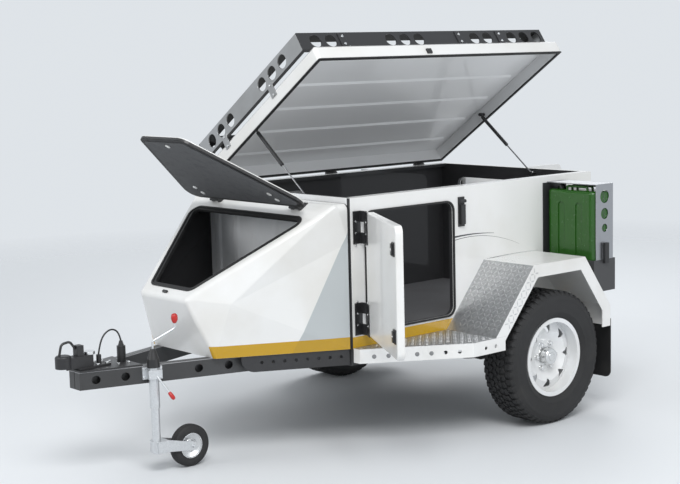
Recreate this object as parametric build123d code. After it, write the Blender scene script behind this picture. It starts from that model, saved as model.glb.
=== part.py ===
from build123d import *
import os
from math import atan2, cos, degrees, hypot, radians, sin, tan

# All sizes are in millimetres. The trailer is laid out with x forward from the axle,
# y to the left and z up from the ground, and is moved to the coupling ball at export.

# Fits
FIT_GAP = 0.3
RUNNING_GAP = 0.1
PIN_GAP = 0.4

# Wheels and axle
TYRE_RADIUS = 351.5
TYRE_WIDTH = 216
TREAD_WIDTH = 172
SHOULDER_DROP = 16
WALL_FLAT = 44
BEAD_RISE = 2
WHEEL_GAP = 125
RIM_SEAT_RADIUS = 190.5
RIM_SEAT_WIDTH = 166
RIM_LIP_RADIUS = 207.5
RIM_LIP_WIDTH = 6
RIM_WALL = 5
DISC_FACE = 25
DISC_CROWN = 22
DISC_THICK = 5
WINDOW_COUNT = 8
WINDOW_INNER = 116
WINDOW_OUTER = 166
WINDOW_SPAN = 62
STUD_COUNT = 6
STUD_CIRCLE = 139.7
STUD_RADIUS = 6.2
NUT_RADIUS = 10.5
NUT_HEIGHT = 16
HUB_FLANGE_RADIUS = 84
HUB_FLANGE_THICK = 12
HUB_BARREL_RADIUS = 48
HUB_BARREL_LENGTH = 70
HUB_CAP_RADIUS = 44
HUB_CAP_LENGTH = 52
CENTRE_HOLE_RADIUS = 52
SPINDLE_RADIUS = 22
SPINDLE_END = 30
AXLE_SIZE = 60
AXLE_END_GAP = 185

# Chassis
FRAME_TOP = 520
FRAME_DEPTH = 85
RAIL_MARGIN = 192
RAIL_WIDTH = 50
CROSS_WIDTH = 50
CROSS_PLACES = (-600, 330, 720)
SPRING_HALF = 380
SPRING_CAMBER = 74
LEAF_THICK = 10
LEAF_WIDTH = 50
LEAF_HALVES = (380, 270, 170)
SPRING_SEAT = 6
EYE_RADIUS = 20
HANGER_WIDTH = 44
UBOLT_OFFSET = 42
UBOLT_RADIUS = 7
SPRING_CLAMP_EDGE = 12
SPRING_CLAMP_THICK = 8

# Drawbar and coupling
DRAWBAR_FRONT = 2330
BEAM_WIDTH = 44
BEAM_WALL = 5
BEAM_GAP = 2
BEAM_HOLE_RADIUS = 20
BEAM_HOLES = (2255, 2120, 1775, 1630)
HEAD_REAR = 2040
HEAD_PLATE = 8
HEAD_HALF = 54
HITCH_X = 2385
HITCH_Z = 575
BALL_RADIUS = 25.2
CUP_RADIUS = 38
CUP_TOP = 604
COUPLING_REAR = 2150
COUPLING_HALF = 36
PLUG_X = 2070
PLUG_RADIUS = 21
PLUG_TOP = 604
LEAD_RADIUS = 4
LEAD_POINTS = (
    (2070, 0, 629),
    (2078, 0, 670),
    (2118, 0, 694),
    (2163, 0, 672),
    (2187, 0, 624),
    (2195, 0, 581),
)
GLAND_RADIUS = 12
LEAD_GAP = 0.9
COUPLING_PLATE = 10
COUPLING_SETBACK = 10
CUP_LIFT = 16
NECK_START = 90
NECK_HALF = 28
NECK_SINK = 2
NECK_RISE = 16
LOCK_REAR = 100
LOCK_FRONT = 66
LOCK_HALF = 20
LOCK_LOW = 10
LOCK_TOP = 66
HANDLE_RADIUS = 6
HANDLE_BEND = 22
HANDLE_POINTS = ((20, -2), (6, 54), (-40, 60), (-66, 22))
LOCK_DISC_BACK = 140
LOCK_DISC_HEIGHT = 14
LOCK_DISC_RADIUS = 27

# Jockey wheel
JOCKEY_X = 2010
JOCKEY_REACH = 35
JOCKEY_TUBE_RADIUS = 24
JOCKEY_BORE = 20.6
JOCKEY_STEM_RADIUS = 20
JOCKEY_TUBE_BOTTOM = 320
JOCKEY_TUBE_TOP = 556
JOCKEY_TUBE_LID = 6
JOCKEY_STEM_TOP = 395
BOOT_TOP = 604
BOOT_RADIUS = 31
BOOT_NECK_RADIUS = 12
BOOT_CLEAR = 2
BOOT_WALL = 4
CLAMP_TOP = 514
CLAMP_BOTTOM = 456
CLAMP_HALF = 48
CLAMP_PLATE = 14
CLAMP_LIP = 8
JOCKEY_WHEEL_RADIUS = 102.5
JOCKEY_WHEEL_WIDTH = 55
JOCKEY_RIM_RADIUS = 62
JOCKEY_BOSS_RADIUS = 20
JOCKEY_SHOULDER = 14
JOCKEY_TRAIL = 186
FORK_TOP = 160
FORK_PIN_RADIUS = 12
FORK_PIN_LENGTH = 52
FORK_DEPTH = 58
FORK_WALL = 3
FORK_EYE = 22
YOKE_REAR = 46
YOKE_FRONT = 12
FORK_CHEEK = 5
FORK_GAP = 6
JOCKEY_AXLE_RADIUS = 8
JOCKEY_AXLE_END = 10
CRANK_RADIUS = 5
CRANK_THROW = 112
CRANK_RISE = 88
CRANK_END = 24
CRANK_BEND = 10
GRIP_RADIUS = 11
GRIP_LENGTH = 46
LEVER_RADIUS = 5
LEVER_GRIP_LENGTH = 30
LEVER_GRIP_RADIUS = 8.5
LEVER_START = (-8, 4, 20)
LEVER_END = (-52, 40, -54)

# Body box
BODY_FRONT = 1115
BODY_REAR = -691
BODY_HALF = 592
BODY_TOP = 1263
WALL = 25
FLOOR = 20
RIM_FLANGE = 30
RIM_DEPTH = 20
RIB_COUNT = 7
RIB_WIDTH = 60
RIB_DEPTH = 8
RIB_MARGIN = 80
RIB_FOOT = 40
RIB_HEAD = 50

# Doors
OPENING_BOTTOM = 600
OPENING_TOP = 1185
OPENING_FRONT = 1018
OPENING_REAR = 418
OPENING_CORNER = 45
TAIL_POST = 160
DOOR_OVERLAP = 12
DOOR_HINGE_OVERLAP = 27
DOOR_THICK = 34
DOOR_STAND = 10
DOOR_CORNER = 36
DOOR_PIN_GAP = 9
LEFT_DOOR_OPEN = 120
TAIL_DOOR_OPEN = 90
SEAL_WIDTH = 10
SEAL_HEIGHT = 8
HINGE_HEIGHT = 160
HINGE_LEAF = 48
HINGE_PLATE = 4
KNUCKLE_RADIUS = 6
HINGE_PIN_RADIUS = 3
HINGE_INSET = 95
PADDLE_SEAT = 6
PADDLE_RISE = 8
LATCH_HEIGHT = 64
LATCH_WIDTH = 42
LATCH_INSET = 44

# Lid and roof rack
LID_OPEN = 34
LID_GAP = 6
LID_HEIGHT = 88
LID_EDGE = 34
LID_SKIN = 20
LID_WALL = 24
LID_RIBS = 5
LID_RIB_WIDTH = 70
LID_RIB_DEPTH = 9
LID_RIB_SIDE = 120
LID_RIB_END = 60
LID_SEAL_INSET = 4
LID_SEAL_BAND = 16
LID_PIN_OUT = 12
STRAP_PLATE = 4
STRAP_LEAF = 56
STRAP_LENGTH = 80
STRAP_KNUCKLE = 7
STRAP_PIN_RADIUS = 3.5
LID_HINGES = (-500, 212, 925)
RACK_SIDE_INSET = 74
RACK_RAIL = 98
RACK_LIFT = 14
RACK_PLATE = 6
RACK_HOLE_RADIUS = 36
RACK_HOLE_PITCH = 102
RACK_LONG_SHARE = (0.09, 0.283, 0.602, 0.914)
RACK_LONG_COUNT = (3, 2, 3, 2)
RACK_CROSS_SHARE = (0.2075, 0.736)
RACK_CROSS_COUNT = (3, 3)
RACK_LONG_FOOT_SHARE = (0.2, 0.377, 0.842)
RACK_CROSS_FOOT_SHARE = (0.213, 0.69)
RACK_FOOT = 44
RACK_FOOT_PLATE = 5
RACK_FOOT_FLANGE = 34
RACK_FOOT_MARGIN = 8
RACK_STRAP_DOWN = 40
RACK_STRAP_LAP = 11
LATCH_X = 355
LATCH_LOW = 210
LATCH_HIGH = 56
LATCH_HALF = 22
LATCH_PLATE = 6
LATCH_ARM_HALF = 14
LATCH_ARM_DEPTH = 16
LATCH_ARM_FOOT = 12
LATCH_ARM_HEAD = 40
LATCH_ROLLER_RADIUS = 9
LATCH_ROLLER_DROP = 22
CATCH_HALF = 16
CATCH_DEPTH = 10
CATCH_LOW = 8
CATCH_TOP = 34

# Gas struts
STRUT_LID_REACH = 500
STRUT_LID_RISE = 30
STRUT_TUB_REACH = 804
STRUT_TUB_DROP = 25
STRUT_INSET = 30
STRUT_TUBE_RADIUS = 10
STRUT_ROD_RADIUS = 4
STRUT_NECK = 22
STRUT_TUBE_LENGTH = 276
STRUT_ROD_ENTRY = 24
STRUT_END_WALL = 8
STRUT_EYE_RADIUS = 10
STRUT_EYE_WIDTH = 10
STRUT_PIN_RADIUS = 5
STUD_END_GAP = 1
STUD_HEAD = 3
STUD_COLLAR = 4

# Nose
NOSE_SIDE_STEP = 17
NOSE_TOP_STEP = 28
NOSE_ROUND = 30
NOSE_WALL = 12
NOSE_SEAL = 6
SLOPE_START = 1189
NOSE_TIP_X = 1828
NOSE_TIP_Z = 812
NOSE_TIP_TAPER = 385
NOSE_CHIN_X = 1713
NOSE_CHIN_TAPER = 310
NOSE_KNEE_X = 1655
NOSE_KNEE_Z = 785
NOSE_KNEE_TAPER = 245
NOSE_CREASE_DROP = 190
MOUTH_TOP = 118
MOUTH_BOTTOM = 698
MOUTH_TOP_MARGIN = 105
MOUTH_BOTTOM_MARGIN = 26
MOUTH_CORNER = 42
HATCH_OPEN = 67
HATCH_PIN_DOWN = 62
HATCH_PIN_UP = 14
HATCH_OVERLAP = 26
HATCH_STAND = 6
HATCH_THICK = 18
LINING_THICK = 4
HATCH_HINGE_MARGIN = 140
KEEPER_GAP = 7
KEEPER_WIDTH = 34
KEEPER_LENGTH = 12
KEEPER_HEIGHT = 10
KNOB_WIDTH = 44
KNOB_LENGTH = 30
KNOB_HEIGHT = 12
KNOB_UP = 22

# Fenders, steps, flaps
FENDER_WIDTH = 348
FENDER_TOP = 862
FENDER_FLAT_FRONT = 185
FENDER_FLAT_REAR = -220
FENDER_TAIL = -430
FENDER_KNEE = 575
FENDER_BOTTOM = 462
FENDER_SLOPE = 1.18
FENDER_SHEET = 5
FENDER_FLANGE = 66
STEP_TOP = 526
STEP_SHEET = 6
STEP_SKIRT = 72
STEP_REAR = 402
STEP_BEND = 630
STEP_TIP_OUT = 44
STEP_HOLE_RADIUS = 10
STEP_HOLE_PITCH = 70
FLAP_THICK = 6
FLAP_WIDTH = 270
FLAP_CORNER = 36
FLAP_BOTTOM = 175
FLAP_TOP = 500

# Jerry cans and their holders
CAN_FRONT = -306
CAN_DEPTH = 165
CAN_WIDTH = 330
CAN_BOTTOM = 760
CAN_BODY = 436
CAN_CORNER = 34
CAN_HANDLE = 26
CAN_HANDLE_RADIUS = 7
CAN_HANDLE_BEND = 12
CAN_HANDLE_SINK = 6
CAN_HANDLE_INNER = 50
CAN_HANDLE_OUTER = 90
CAN_HANDLE_PITCH = 43
CAN_FLUTE_WIDTH = 46
CAN_FLUTE_LENGTH = 310
CAN_FLUTE_DEPTH = 6
CAN_FLUTE_OFFSET = 60
CAN_CAP_RADIUS = 24
CAN_CAP_IN = 108
CAN_CAP_LEAN = 20
CAN_CAP_RISE = 30
CAN_WALL_GAP = 6
CAN_PLATE_GAP = 2
CAN_TRAY_GAP = 6
HOLDER_SHEET = 4
HOLDER_TOP = 1230
TRAY_LIP = 829
TRAY_FOOT = 656
HOLDER_PLATE_WIDTH = 140
HOLDER_HOLES = ((1167, 36), (1075, 30), (998, 22))
HOLDER_FENDER_GAP = 4
HOLDER_LATCH_HALF = 16
HOLDER_LATCH_DEPTH = 18
HOLDER_LATCH_LOW = 20
HOLDER_LATCH_HIGH = 90

# Lamps and plates below the nose
LAMP_DEPTH = 24
LAMP_WIDTH = 70
LAMP_BOTTOM = 790
LAMP_TOP = 980
LAMP_INSET = 8
LAMP_ROUND = 9
NOSE_PLATE_LENGTH = 545
NOSE_PLATE_SHEET = 6
NOSE_PLATE_HOLES = 8
NOSE_PLATE_START = 8
NOSE_PLATE_TRIM = 4
NOSE_PLATE_HOLE_RADIUS = 8
NOSE_PLATE_HOLE_START = 50
NOSE_PLATE_HOLE_END = 100

# Places that follow from the sizes above
FRAME_BOTTOM = FRAME_TOP - FRAME_DEPTH
FRONT_CROSS = BODY_FRONT - CROSS_WIDTH
WHEEL_Y = BODY_HALF + WHEEL_GAP + TYRE_WIDTH / 2
AXLE_HALF = WHEEL_Y - AXLE_END_GAP
NOSE_HALF = BODY_HALF - NOSE_SIDE_STEP
NOSE_TOP = BODY_TOP - NOSE_TOP_STEP
NOSE_CREASE = NOSE_TOP - NOSE_CREASE_DROP
NOSE_FRONT_TOP = (NOSE_TIP_X, NOSE_HALF - NOSE_TIP_TAPER, NOSE_TIP_Z)
NOSE_FRONT_BOTTOM = (NOSE_CHIN_X, NOSE_HALF - NOSE_CHIN_TAPER)
NOSE_KNEE = (NOSE_KNEE_X, NOSE_HALF - NOSE_KNEE_TAPER, NOSE_KNEE_Z)
MOUTH_TOP_HALF = NOSE_HALF - MOUTH_TOP_MARGIN
MOUTH_BOTTOM_HALF = NOSE_FRONT_TOP[1] - MOUTH_BOTTOM_MARGIN
HATCH_HINGE_Y = MOUTH_TOP_HALF - HATCH_HINGE_MARGIN
TAIL_OPENING_HALF = BODY_HALF - TAIL_POST
FENDER_HALF = BODY_HALF + FENDER_WIDTH
STEP_TIP_HALF = BODY_HALF + STEP_TIP_OUT
NOSE_REAR = BODY_FRONT + NOSE_SEAL
LID_BASE = BODY_TOP + LID_GAP
LID_PIN = (-BODY_HALF - LID_PIN_OUT, BODY_TOP + LID_GAP / 2)
SLOPE_FALL = degrees(atan2(NOSE_TOP - NOSE_FRONT_TOP[2], NOSE_FRONT_TOP[0] - SLOPE_START))
SLOPE_DOWN = Vector(cos(radians(SLOPE_FALL)), 0, -sin(radians(SLOPE_FALL)))
SLOPE_OUT = Vector(sin(radians(SLOPE_FALL)), 0, cos(radians(SLOPE_FALL)))
SLOPE_EDGE = Vector(SLOPE_START, 0, NOSE_TOP)
HATCH_PIN = SLOPE_EDGE + SLOPE_DOWN * HATCH_PIN_DOWN + SLOPE_OUT * HATCH_PIN_UP
LEFT_PIN_X = OPENING_FRONT + DOOR_HINGE_OVERLAP + DOOR_PIN_GAP
DOOR_FACE = DOOR_STAND + DOOR_THICK
LEFT_PIN_Y = BODY_HALF + DOOR_FACE - KNUCKLE_RADIUS / 2
RAIL_CENTRE = BODY_HALF - RAIL_MARGIN
BEAM_REAR_INNER = RAIL_CENTRE - RAIL_WIDTH / 2
BEAM_SPREAD = (BEAM_REAR_INNER - BEAM_GAP) / (DRAWBAR_FRONT - BODY_FRONT)
BEAM_ANGLE = degrees(atan2(BEAM_SPREAD, 1))


def block(x_range, y_range, z_range):
    """A rectangular bar between two corners."""
    size = [high - low for low, high in (x_range, y_range, z_range)]
    middle = [(low + high) / 2 for low, high in (x_range, y_range, z_range)]
    return Pos(*middle) * Box(*size)


def prism_y(points, y_range):
    """An outline in x and z, swept across the trailer."""
    outline = Polyline(*[(x, y_range[0], z) for x, z in points], close=True)
    return extrude(make_face(outline), amount=y_range[1] - y_range[0], dir=(0, 1, 0))


def prism_z(points, z_range):
    """An outline in plan, swept upwards."""
    outline = Polyline(*[(x, y, z_range[0]) for x, y in points], close=True)
    return extrude(make_face(outline), amount=z_range[1] - z_range[0], dir=(0, 0, 1))


def bar(start, end, radius):
    """A round bar between two points."""
    start, end = Vector(*start), Vector(*end)
    return Solid.make_cylinder(radius, (end - start).length, Plane(origin=start, z_dir=end - start))


def group(*shapes):
    """Separate solids kept together as one piece."""
    return Compound(children=[solid for shape in shapes for solid in shape.solids()])


def mirrored(shape):
    """The same shape on the other side of the trailer."""
    return mirror(shape, about=Plane.XZ)


def pair(shape):
    """A left-hand shape with its right-hand twin."""
    return group(shape, mirrored(shape))


def inset_line(points, depth):
    """An open x-z line moved sideways by depth, with mitred corners."""
    normals = []
    for (x0, z0), (x1, z1) in zip(points, points[1:]):
        length = hypot(x1 - x0, z1 - z0)
        normals.append(((z1 - z0) / -length, (x1 - x0) / length))
    joined = [normals[0]]
    for (ax, az), (bx, bz) in zip(normals, normals[1:]):
        share = 1 + ax * bx + az * bz
        joined.append(((ax + bx) / share, (az + bz) / share))
    joined.append(normals[-1])
    return [(x + nx * depth, z + nz * depth) for (x, z), (nx, nz) in zip(points, joined)]


def rounded(width, height, corner):
    """A rectangle with round corners."""
    return RectangleRounded(width, height, corner)


def frame_ring(width, height, corner, band, depth):
    """A flat ring round a rounded rectangle, band wide and depth high."""
    ring = rounded(width + 2 * band, height + 2 * band, corner + band) - rounded(width, height, corner)
    return extrude(ring, amount=depth)


def facing(x, y, z, x_dir, z_dir):
    """A work plane at a point, for panels that stand upright."""
    return Plane(origin=(x, y, z), x_dir=x_dir, z_dir=z_dir)


# Wheels

def ring_of(side):
    """A ring about the y axis, from one half of its outline in radius and width."""
    return revolve(make_face(Polyline(*side, *[(r, -y) for r, y in reversed(side)], close=True)), Axis.Y)


def tyre():
    """Carcass out to the tips of the tread."""
    half_seat = RIM_SEAT_WIDTH / 2
    bead_top = RIM_LIP_RADIUS + BEAD_RISE
    shoulder = TYRE_RADIUS - SHOULDER_DROP
    bulge = (bead_top + shoulder) / 2
    return ring_of([
        (RIM_SEAT_RADIUS + FIT_GAP, half_seat), (bead_top, half_seat),
        (bulge - WALL_FLAT / 2, TYRE_WIDTH / 2), (bulge + WALL_FLAT / 2, TYRE_WIDTH / 2),
        (shoulder, TREAD_WIDTH / 2 + SHOULDER_DROP), (TYRE_RADIUS, TREAD_WIDTH / 2),
    ])


def rim():
    half = RIM_SEAT_WIDTH / 2 + FIT_GAP
    inner = RIM_SEAT_RADIUS - RIM_WALL
    edge = half + RIM_LIP_WIDTH
    barrel = [
        (inner, -edge), (RIM_LIP_RADIUS, -edge), (RIM_LIP_RADIUS, -half), (RIM_SEAT_RADIUS, -half),
        (RIM_SEAT_RADIUS, half), (RIM_LIP_RADIUS, half), (RIM_LIP_RADIUS, edge), (inner, edge),
    ]
    crown = DISC_FACE + DISC_CROWN
    mid = (HUB_FLANGE_RADIUS + inner) / 2
    face = [
        (CENTRE_HOLE_RADIUS, DISC_FACE), (HUB_FLANGE_RADIUS, DISC_FACE),
        (mid, crown), (inner + RIM_WALL / 2, DISC_FACE),
    ]
    disc = face + [(r, y - DISC_THICK) for r, y in reversed(face)]
    wheel = revolve(make_face(Polyline(*barrel, close=True)), Axis.Y)
    wheel += revolve(make_face(Polyline(*disc, close=True)), Axis.Y)
    window = Polygon((WINDOW_INNER, 0), (WINDOW_OUTER, WINDOW_SPAN / 2),
                     (WINDOW_OUTER, -WINDOW_SPAN / 2), align=None)
    window = fillet(window.vertices(), WINDOW_SPAN / 9)
    cutter = Rot(90, 0, 0) * extrude(window, amount=crown * 2, both=True)
    for turn in range(WINDOW_COUNT):
        wheel -= Rot(0, turn * 360 / WINDOW_COUNT, 0) * cutter
    for turn in range(STUD_COUNT):
        hole = bar((STUD_CIRCLE / 2, 0, 0), (STUD_CIRCLE / 2, crown, 0), STUD_RADIUS + FIT_GAP)
        wheel -= Rot(0, turn * 360 / STUD_COUNT, 0) * hole
    return wheel


def hub():
    back = DISC_FACE - DISC_THICK
    body = bar((0, back - HUB_BARREL_LENGTH, 0), (0, back, 0), HUB_BARREL_RADIUS)
    body += bar((0, back - HUB_FLANGE_THICK, 0), (0, back, 0), HUB_FLANGE_RADIUS)
    cap = bar((0, back, 0), (0, back + HUB_CAP_LENGTH, 0), HUB_CAP_RADIUS)
    rim_edge = cap.edges().filter_by(GeomType.CIRCLE).sort_by(Axis.Y)[-1]
    body += fillet([rim_edge], HUB_CAP_RADIUS / 5)
    for turn in range(STUD_COUNT):
        place = Rot(0, turn * 360 / STUD_COUNT, 0)
        stud = bar((STUD_CIRCLE / 2, back, 0), (STUD_CIRCLE / 2, DISC_FACE + NUT_HEIGHT, 0), STUD_RADIUS)
        nut = bar((STUD_CIRCLE / 2, DISC_FACE, 0),
                  (STUD_CIRCLE / 2, DISC_FACE + NUT_HEIGHT, 0), NUT_RADIUS)
        body += place * (stud + nut)
    bore = bar((0, back - HUB_BARREL_LENGTH, 0), (0, SPINDLE_END + PIN_GAP, 0), SPINDLE_RADIUS + RUNNING_GAP)
    return body - bore


def axle():
    beam = block((-AXLE_SIZE / 2, AXLE_SIZE / 2), (-AXLE_HALF, AXLE_HALF),
                 (TYRE_RADIUS - AXLE_SIZE / 2, TYRE_RADIUS + AXLE_SIZE / 2))
    end = WHEEL_Y + SPINDLE_END
    return beam + bar((0, -end, TYRE_RADIUS), (0, end, TYRE_RADIUS), SPINDLE_RADIUS)


def leaf_spring():
    """Leaves clamped under the axle, their eyes in hangers below the rail."""
    axle_low = TYRE_RADIUS - AXLE_SIZE / 2
    top = axle_low - SPRING_SEAT
    radius = (SPRING_HALF ** 2 + SPRING_CAMBER ** 2) / (2 * SPRING_CAMBER)
    side = (RAIL_CENTRE - LEAF_WIDTH / 2, RAIL_CENTRE + LEAF_WIDTH / 2)
    centre = facing(0, side[0], top + radius, (1, 0, 0), (0, -1, 0))
    spring = None
    for index, half in enumerate(LEAF_HALVES):
        inner = radius + index * LEAF_THICK
        ring = extrude(Circle(inner + LEAF_THICK) - Circle(inner), amount=-LEAF_WIDTH)
        reach = block((-half, half), (side[0] - LEAF_THICK, side[1] + LEAF_THICK),
                      (top - radius, top + 2 * SPRING_CAMBER))
        leaf = (centre * ring) & reach
        spring = leaf if spring is None else spring + leaf
    eye_z = top + SPRING_CAMBER
    for x in (-SPRING_HALF, SPRING_HALF):
        spring += bar((x, side[0], eye_z), (x, side[1], eye_z), EYE_RADIUS)
        spring += block((x - HANGER_WIDTH / 2, x + HANGER_WIDTH / 2), side, (eye_z, FRAME_BOTTOM))
    low = top - len(LEAF_HALVES) * LEAF_THICK
    for x in (-UBOLT_OFFSET, UBOLT_OFFSET):
        for y in side:
            spring += bar((x, y, low), (x, y, axle_low + AXLE_SIZE + UBOLT_RADIUS), UBOLT_RADIUS)
    spring += block((-AXLE_SIZE / 2, AXLE_SIZE / 2), side, (top - LEAF_THICK / 2, axle_low))
    reach = UBOLT_OFFSET + SPRING_CLAMP_EDGE
    clamp = block((-reach, reach), (side[0] - SPRING_CLAMP_EDGE, side[1] + SPRING_CLAMP_EDGE),
                  (low - SPRING_CLAMP_THICK, low + LEAF_THICK / 5))
    return spring + clamp


# Chassis and drawbar

def chassis_rails():
    rail = block((BODY_REAR, FRONT_CROSS), (BEAM_REAR_INNER, BEAM_REAR_INNER + RAIL_WIDTH),
                 (FRAME_BOTTOM, FRAME_TOP))
    return pair(rail)


def crossmembers():
    bars = [block((FRONT_CROSS, BODY_FRONT), (-NOSE_HALF, NOSE_HALF), (FRAME_BOTTOM, FRAME_TOP))]
    for x in CROSS_PLACES:
        bars.append(block((x, x + CROSS_WIDTH), (-BEAM_REAR_INNER, BEAM_REAR_INNER),
                          (FRAME_BOTTOM, FRAME_TOP)))
    return group(*bars)


def beam_inner(x):
    """How far the inner face of a drawbar beam stands from the middle line."""
    return BEAM_GAP + (DRAWBAR_FRONT - x) * BEAM_SPREAD


def beam_plan(front, rear, inset):
    return [(front, beam_inner(front) + inset), (front, beam_inner(front) + BEAM_WIDTH - inset),
            (rear, beam_inner(rear) + BEAM_WIDTH - inset), (rear, beam_inner(rear) + inset)]


def drawbar_beams():
    beam = prism_z(beam_plan(DRAWBAR_FRONT, BODY_FRONT, 0), (FRAME_BOTTOM, FRAME_TOP))
    beam -= prism_z(beam_plan(DRAWBAR_FRONT - BEAM_WALL, BODY_FRONT + BEAM_WALL, BEAM_WALL),
                    (FRAME_BOTTOM + BEAM_WALL, FRAME_TOP - BEAM_WALL))
    middle = (FRAME_BOTTOM + FRAME_TOP) / 2
    for x in BEAM_HOLES:
        start = beam_inner(x) + BEAM_WIDTH / 2
        beam -= bar((x, start, middle), (x, start + BEAM_WIDTH, middle), BEAM_HOLE_RADIUS)
    return pair(beam)


def drawbar_head():
    """Top plate that ties the two beams and carries the coupling."""
    plan = [(DRAWBAR_FRONT, HEAD_HALF), (HEAD_REAR, beam_inner(HEAD_REAR) + BEAM_WIDTH),
            (HEAD_REAR, -beam_inner(HEAD_REAR) - BEAM_WIDTH), (DRAWBAR_FRONT, -HEAD_HALF)]
    return prism_z(plan, (FRAME_TOP, FRAME_TOP + HEAD_PLATE))


def coupling_lock(low):
    """The block that the handle locks into, behind the ball cup."""
    along = (HITCH_X - LOCK_REAR, HITCH_X - LOCK_FRONT)
    return block(along, (-LOCK_HALF, LOCK_HALF), (low, HITCH_Z + LOCK_TOP))


def coupling():
    base = FRAME_TOP + HEAD_PLATE
    body = block((COUPLING_REAR, DRAWBAR_FRONT - COUPLING_SETBACK), (-COUPLING_HALF, COUPLING_HALF),
                 (base, base + COUPLING_PLATE))
    neck = block((COUPLING_REAR + NECK_START, HITCH_X), (-NECK_HALF, NECK_HALF),
                 (base + COUPLING_PLATE - NECK_SINK, HITCH_Z + NECK_RISE))
    cup = bar((HITCH_X, 0, base + CUP_LIFT), (HITCH_X, 0, CUP_TOP), CUP_RADIUS)
    crown_edge = cup.edges().filter_by(GeomType.CIRCLE).sort_by(Axis.Z)[-1]
    cup = fillet([crown_edge], CUP_RADIUS / 3)
    shape = body + neck + cup + coupling_lock(HITCH_Z + LOCK_LOW)
    shape -= bar((HITCH_X, 0, base), (HITCH_X, 0, HITCH_Z), BALL_RADIUS)
    return shape - Pos(HITCH_X, 0, HITCH_Z) * Sphere(BALL_RADIUS)


def coupling_handle():
    """Loop handle over the ball cup and the bright locking disc behind it."""
    path = FilletPolyline(*[(HITCH_X + x, 0, CUP_TOP + z) for x, z in HANDLE_POINTS], radius=HANDLE_BEND)
    loop = sweep(Plane(origin=path @ 0, z_dir=path % 0) * Circle(HANDLE_RADIUS), path=path)
    loop -= coupling_lock(HITCH_Z)
    loop -= bar((HITCH_X, 0, HITCH_Z), (HITCH_X, 0, CUP_TOP), CUP_RADIUS)
    disc_x = HITCH_X - LOCK_DISC_BACK
    disc_z = HITCH_Z + NECK_RISE
    disc = bar((disc_x, 0, disc_z), (disc_x, 0, disc_z + LOCK_DISC_HEIGHT), LOCK_DISC_RADIUS)
    return group(loop, disc)


def plug_post():
    """The parked plug standing in its holder, and the gland its lead runs to."""
    base = FRAME_TOP + HEAD_PLATE
    tip = LEAD_POINTS[0][2] - LEAD_GAP
    plug = bar((PLUG_X, 0, base), (PLUG_X, 0, PLUG_TOP), PLUG_RADIUS)
    plug += Pos(PLUG_X, 0, (PLUG_TOP + tip) / 2) * Cone(PLUG_RADIUS * 0.7, LEAD_RADIUS * 2, tip - PLUG_TOP)
    end = LEAD_POINTS[-1]
    gland = bar((end[0], end[1], base + COUPLING_PLATE), (end[0], end[1], end[2] - LEAD_GAP), GLAND_RADIUS)
    return group(plug, gland)


def plug_lead():
    runs = [(Vector(*b) - Vector(*a)) for a, b in zip(LEAD_POINTS, LEAD_POINTS[1:])]
    radii = []
    for before, after in zip(runs, runs[1:]):
        half_turn = radians(before.get_angle(after)) / 2
        radii.append(0.45 * min(before.length, after.length) / tan(half_turn))
    print("lead radii", [round(radius) for radius in radii])
    path = FilletPolyline(*LEAD_POINTS, radius=radii)
    return sweep(Plane(origin=path @ 0, z_dir=path % 0) * Circle(LEAD_RADIUS), path=path)


# Jockey wheel, laid out round its own tube and then set beside the left beam

def jockey_place():
    y = beam_inner(JOCKEY_X) + BEAM_WIDTH + JOCKEY_REACH / cos(radians(BEAM_ANGLE))
    return Pos(JOCKEY_X, y, 0) * Rot(0, 0, -BEAM_ANGLE)


def lever_line():
    """The clamp lever, from the clamp down and out to its grip."""
    origin = Vector(0, JOCKEY_TUBE_RADIUS, CLAMP_BOTTOM)
    start, end = origin + Vector(*LEVER_START), origin + Vector(*LEVER_END)
    return start, end, (end - start).normalized()


def jockey_clamp():
    clamp = block((-CLAMP_HALF, CLAMP_HALF), (-JOCKEY_REACH, -JOCKEY_REACH + CLAMP_PLATE),
                  (CLAMP_BOTTOM, CLAMP_TOP))
    clamp += block((-CLAMP_HALF * 0.7, CLAMP_HALF * 0.7), (-JOCKEY_REACH, JOCKEY_TUBE_RADIUS + CLAMP_LIP),
                   (CLAMP_BOTTOM + CLAMP_LIP, CLAMP_TOP - CLAMP_LIP))
    clamp -= bar((0, 0, CLAMP_BOTTOM), (0, 0, CLAMP_TOP), JOCKEY_TUBE_RADIUS + RUNNING_GAP)
    start, end, way = lever_line()
    return jockey_place() * (clamp + bar(start, end, LEVER_RADIUS))


def jockey_tube():
    tube = bar((0, 0, JOCKEY_TUBE_BOTTOM), (0, 0, JOCKEY_TUBE_TOP), JOCKEY_TUBE_RADIUS)
    tube -= bar((0, 0, JOCKEY_TUBE_BOTTOM), (0, 0, JOCKEY_TUBE_TOP - JOCKEY_TUBE_LID), JOCKEY_BORE)
    return jockey_place() * tube


def jockey_boot():
    """Black cap drawn over the head of the tube."""
    inner = JOCKEY_TUBE_RADIUS + FIT_GAP
    low = CLAMP_TOP + BOOT_CLEAR
    seat = JOCKEY_TUBE_TOP + FIT_GAP
    section = Polyline((inner, 0, low), (BOOT_RADIUS, 0, low), (inner + BOOT_WALL, 0, seat),
                       (BOOT_NECK_RADIUS, 0, BOOT_TOP), (0, 0, BOOT_TOP),
                       (0, 0, seat), (inner, 0, seat), close=True)
    return jockey_place() * revolve(make_face(section), Axis.Z)


def crank_top():
    return BOOT_TOP + CRANK_RISE


def jockey_crank():
    bend = BOOT_TOP + CRANK_RISE * 0.4
    path = FilletPolyline((0, 0, BOOT_TOP), (0, 0, bend), (-CRANK_THROW, 0, crank_top()),
                          (-CRANK_THROW, 0, crank_top() + CRANK_END), radius=CRANK_BEND)
    return jockey_place() * sweep(Plane(origin=path @ 0, z_dir=path % 0) * Circle(CRANK_RADIUS), path=path)


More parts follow.
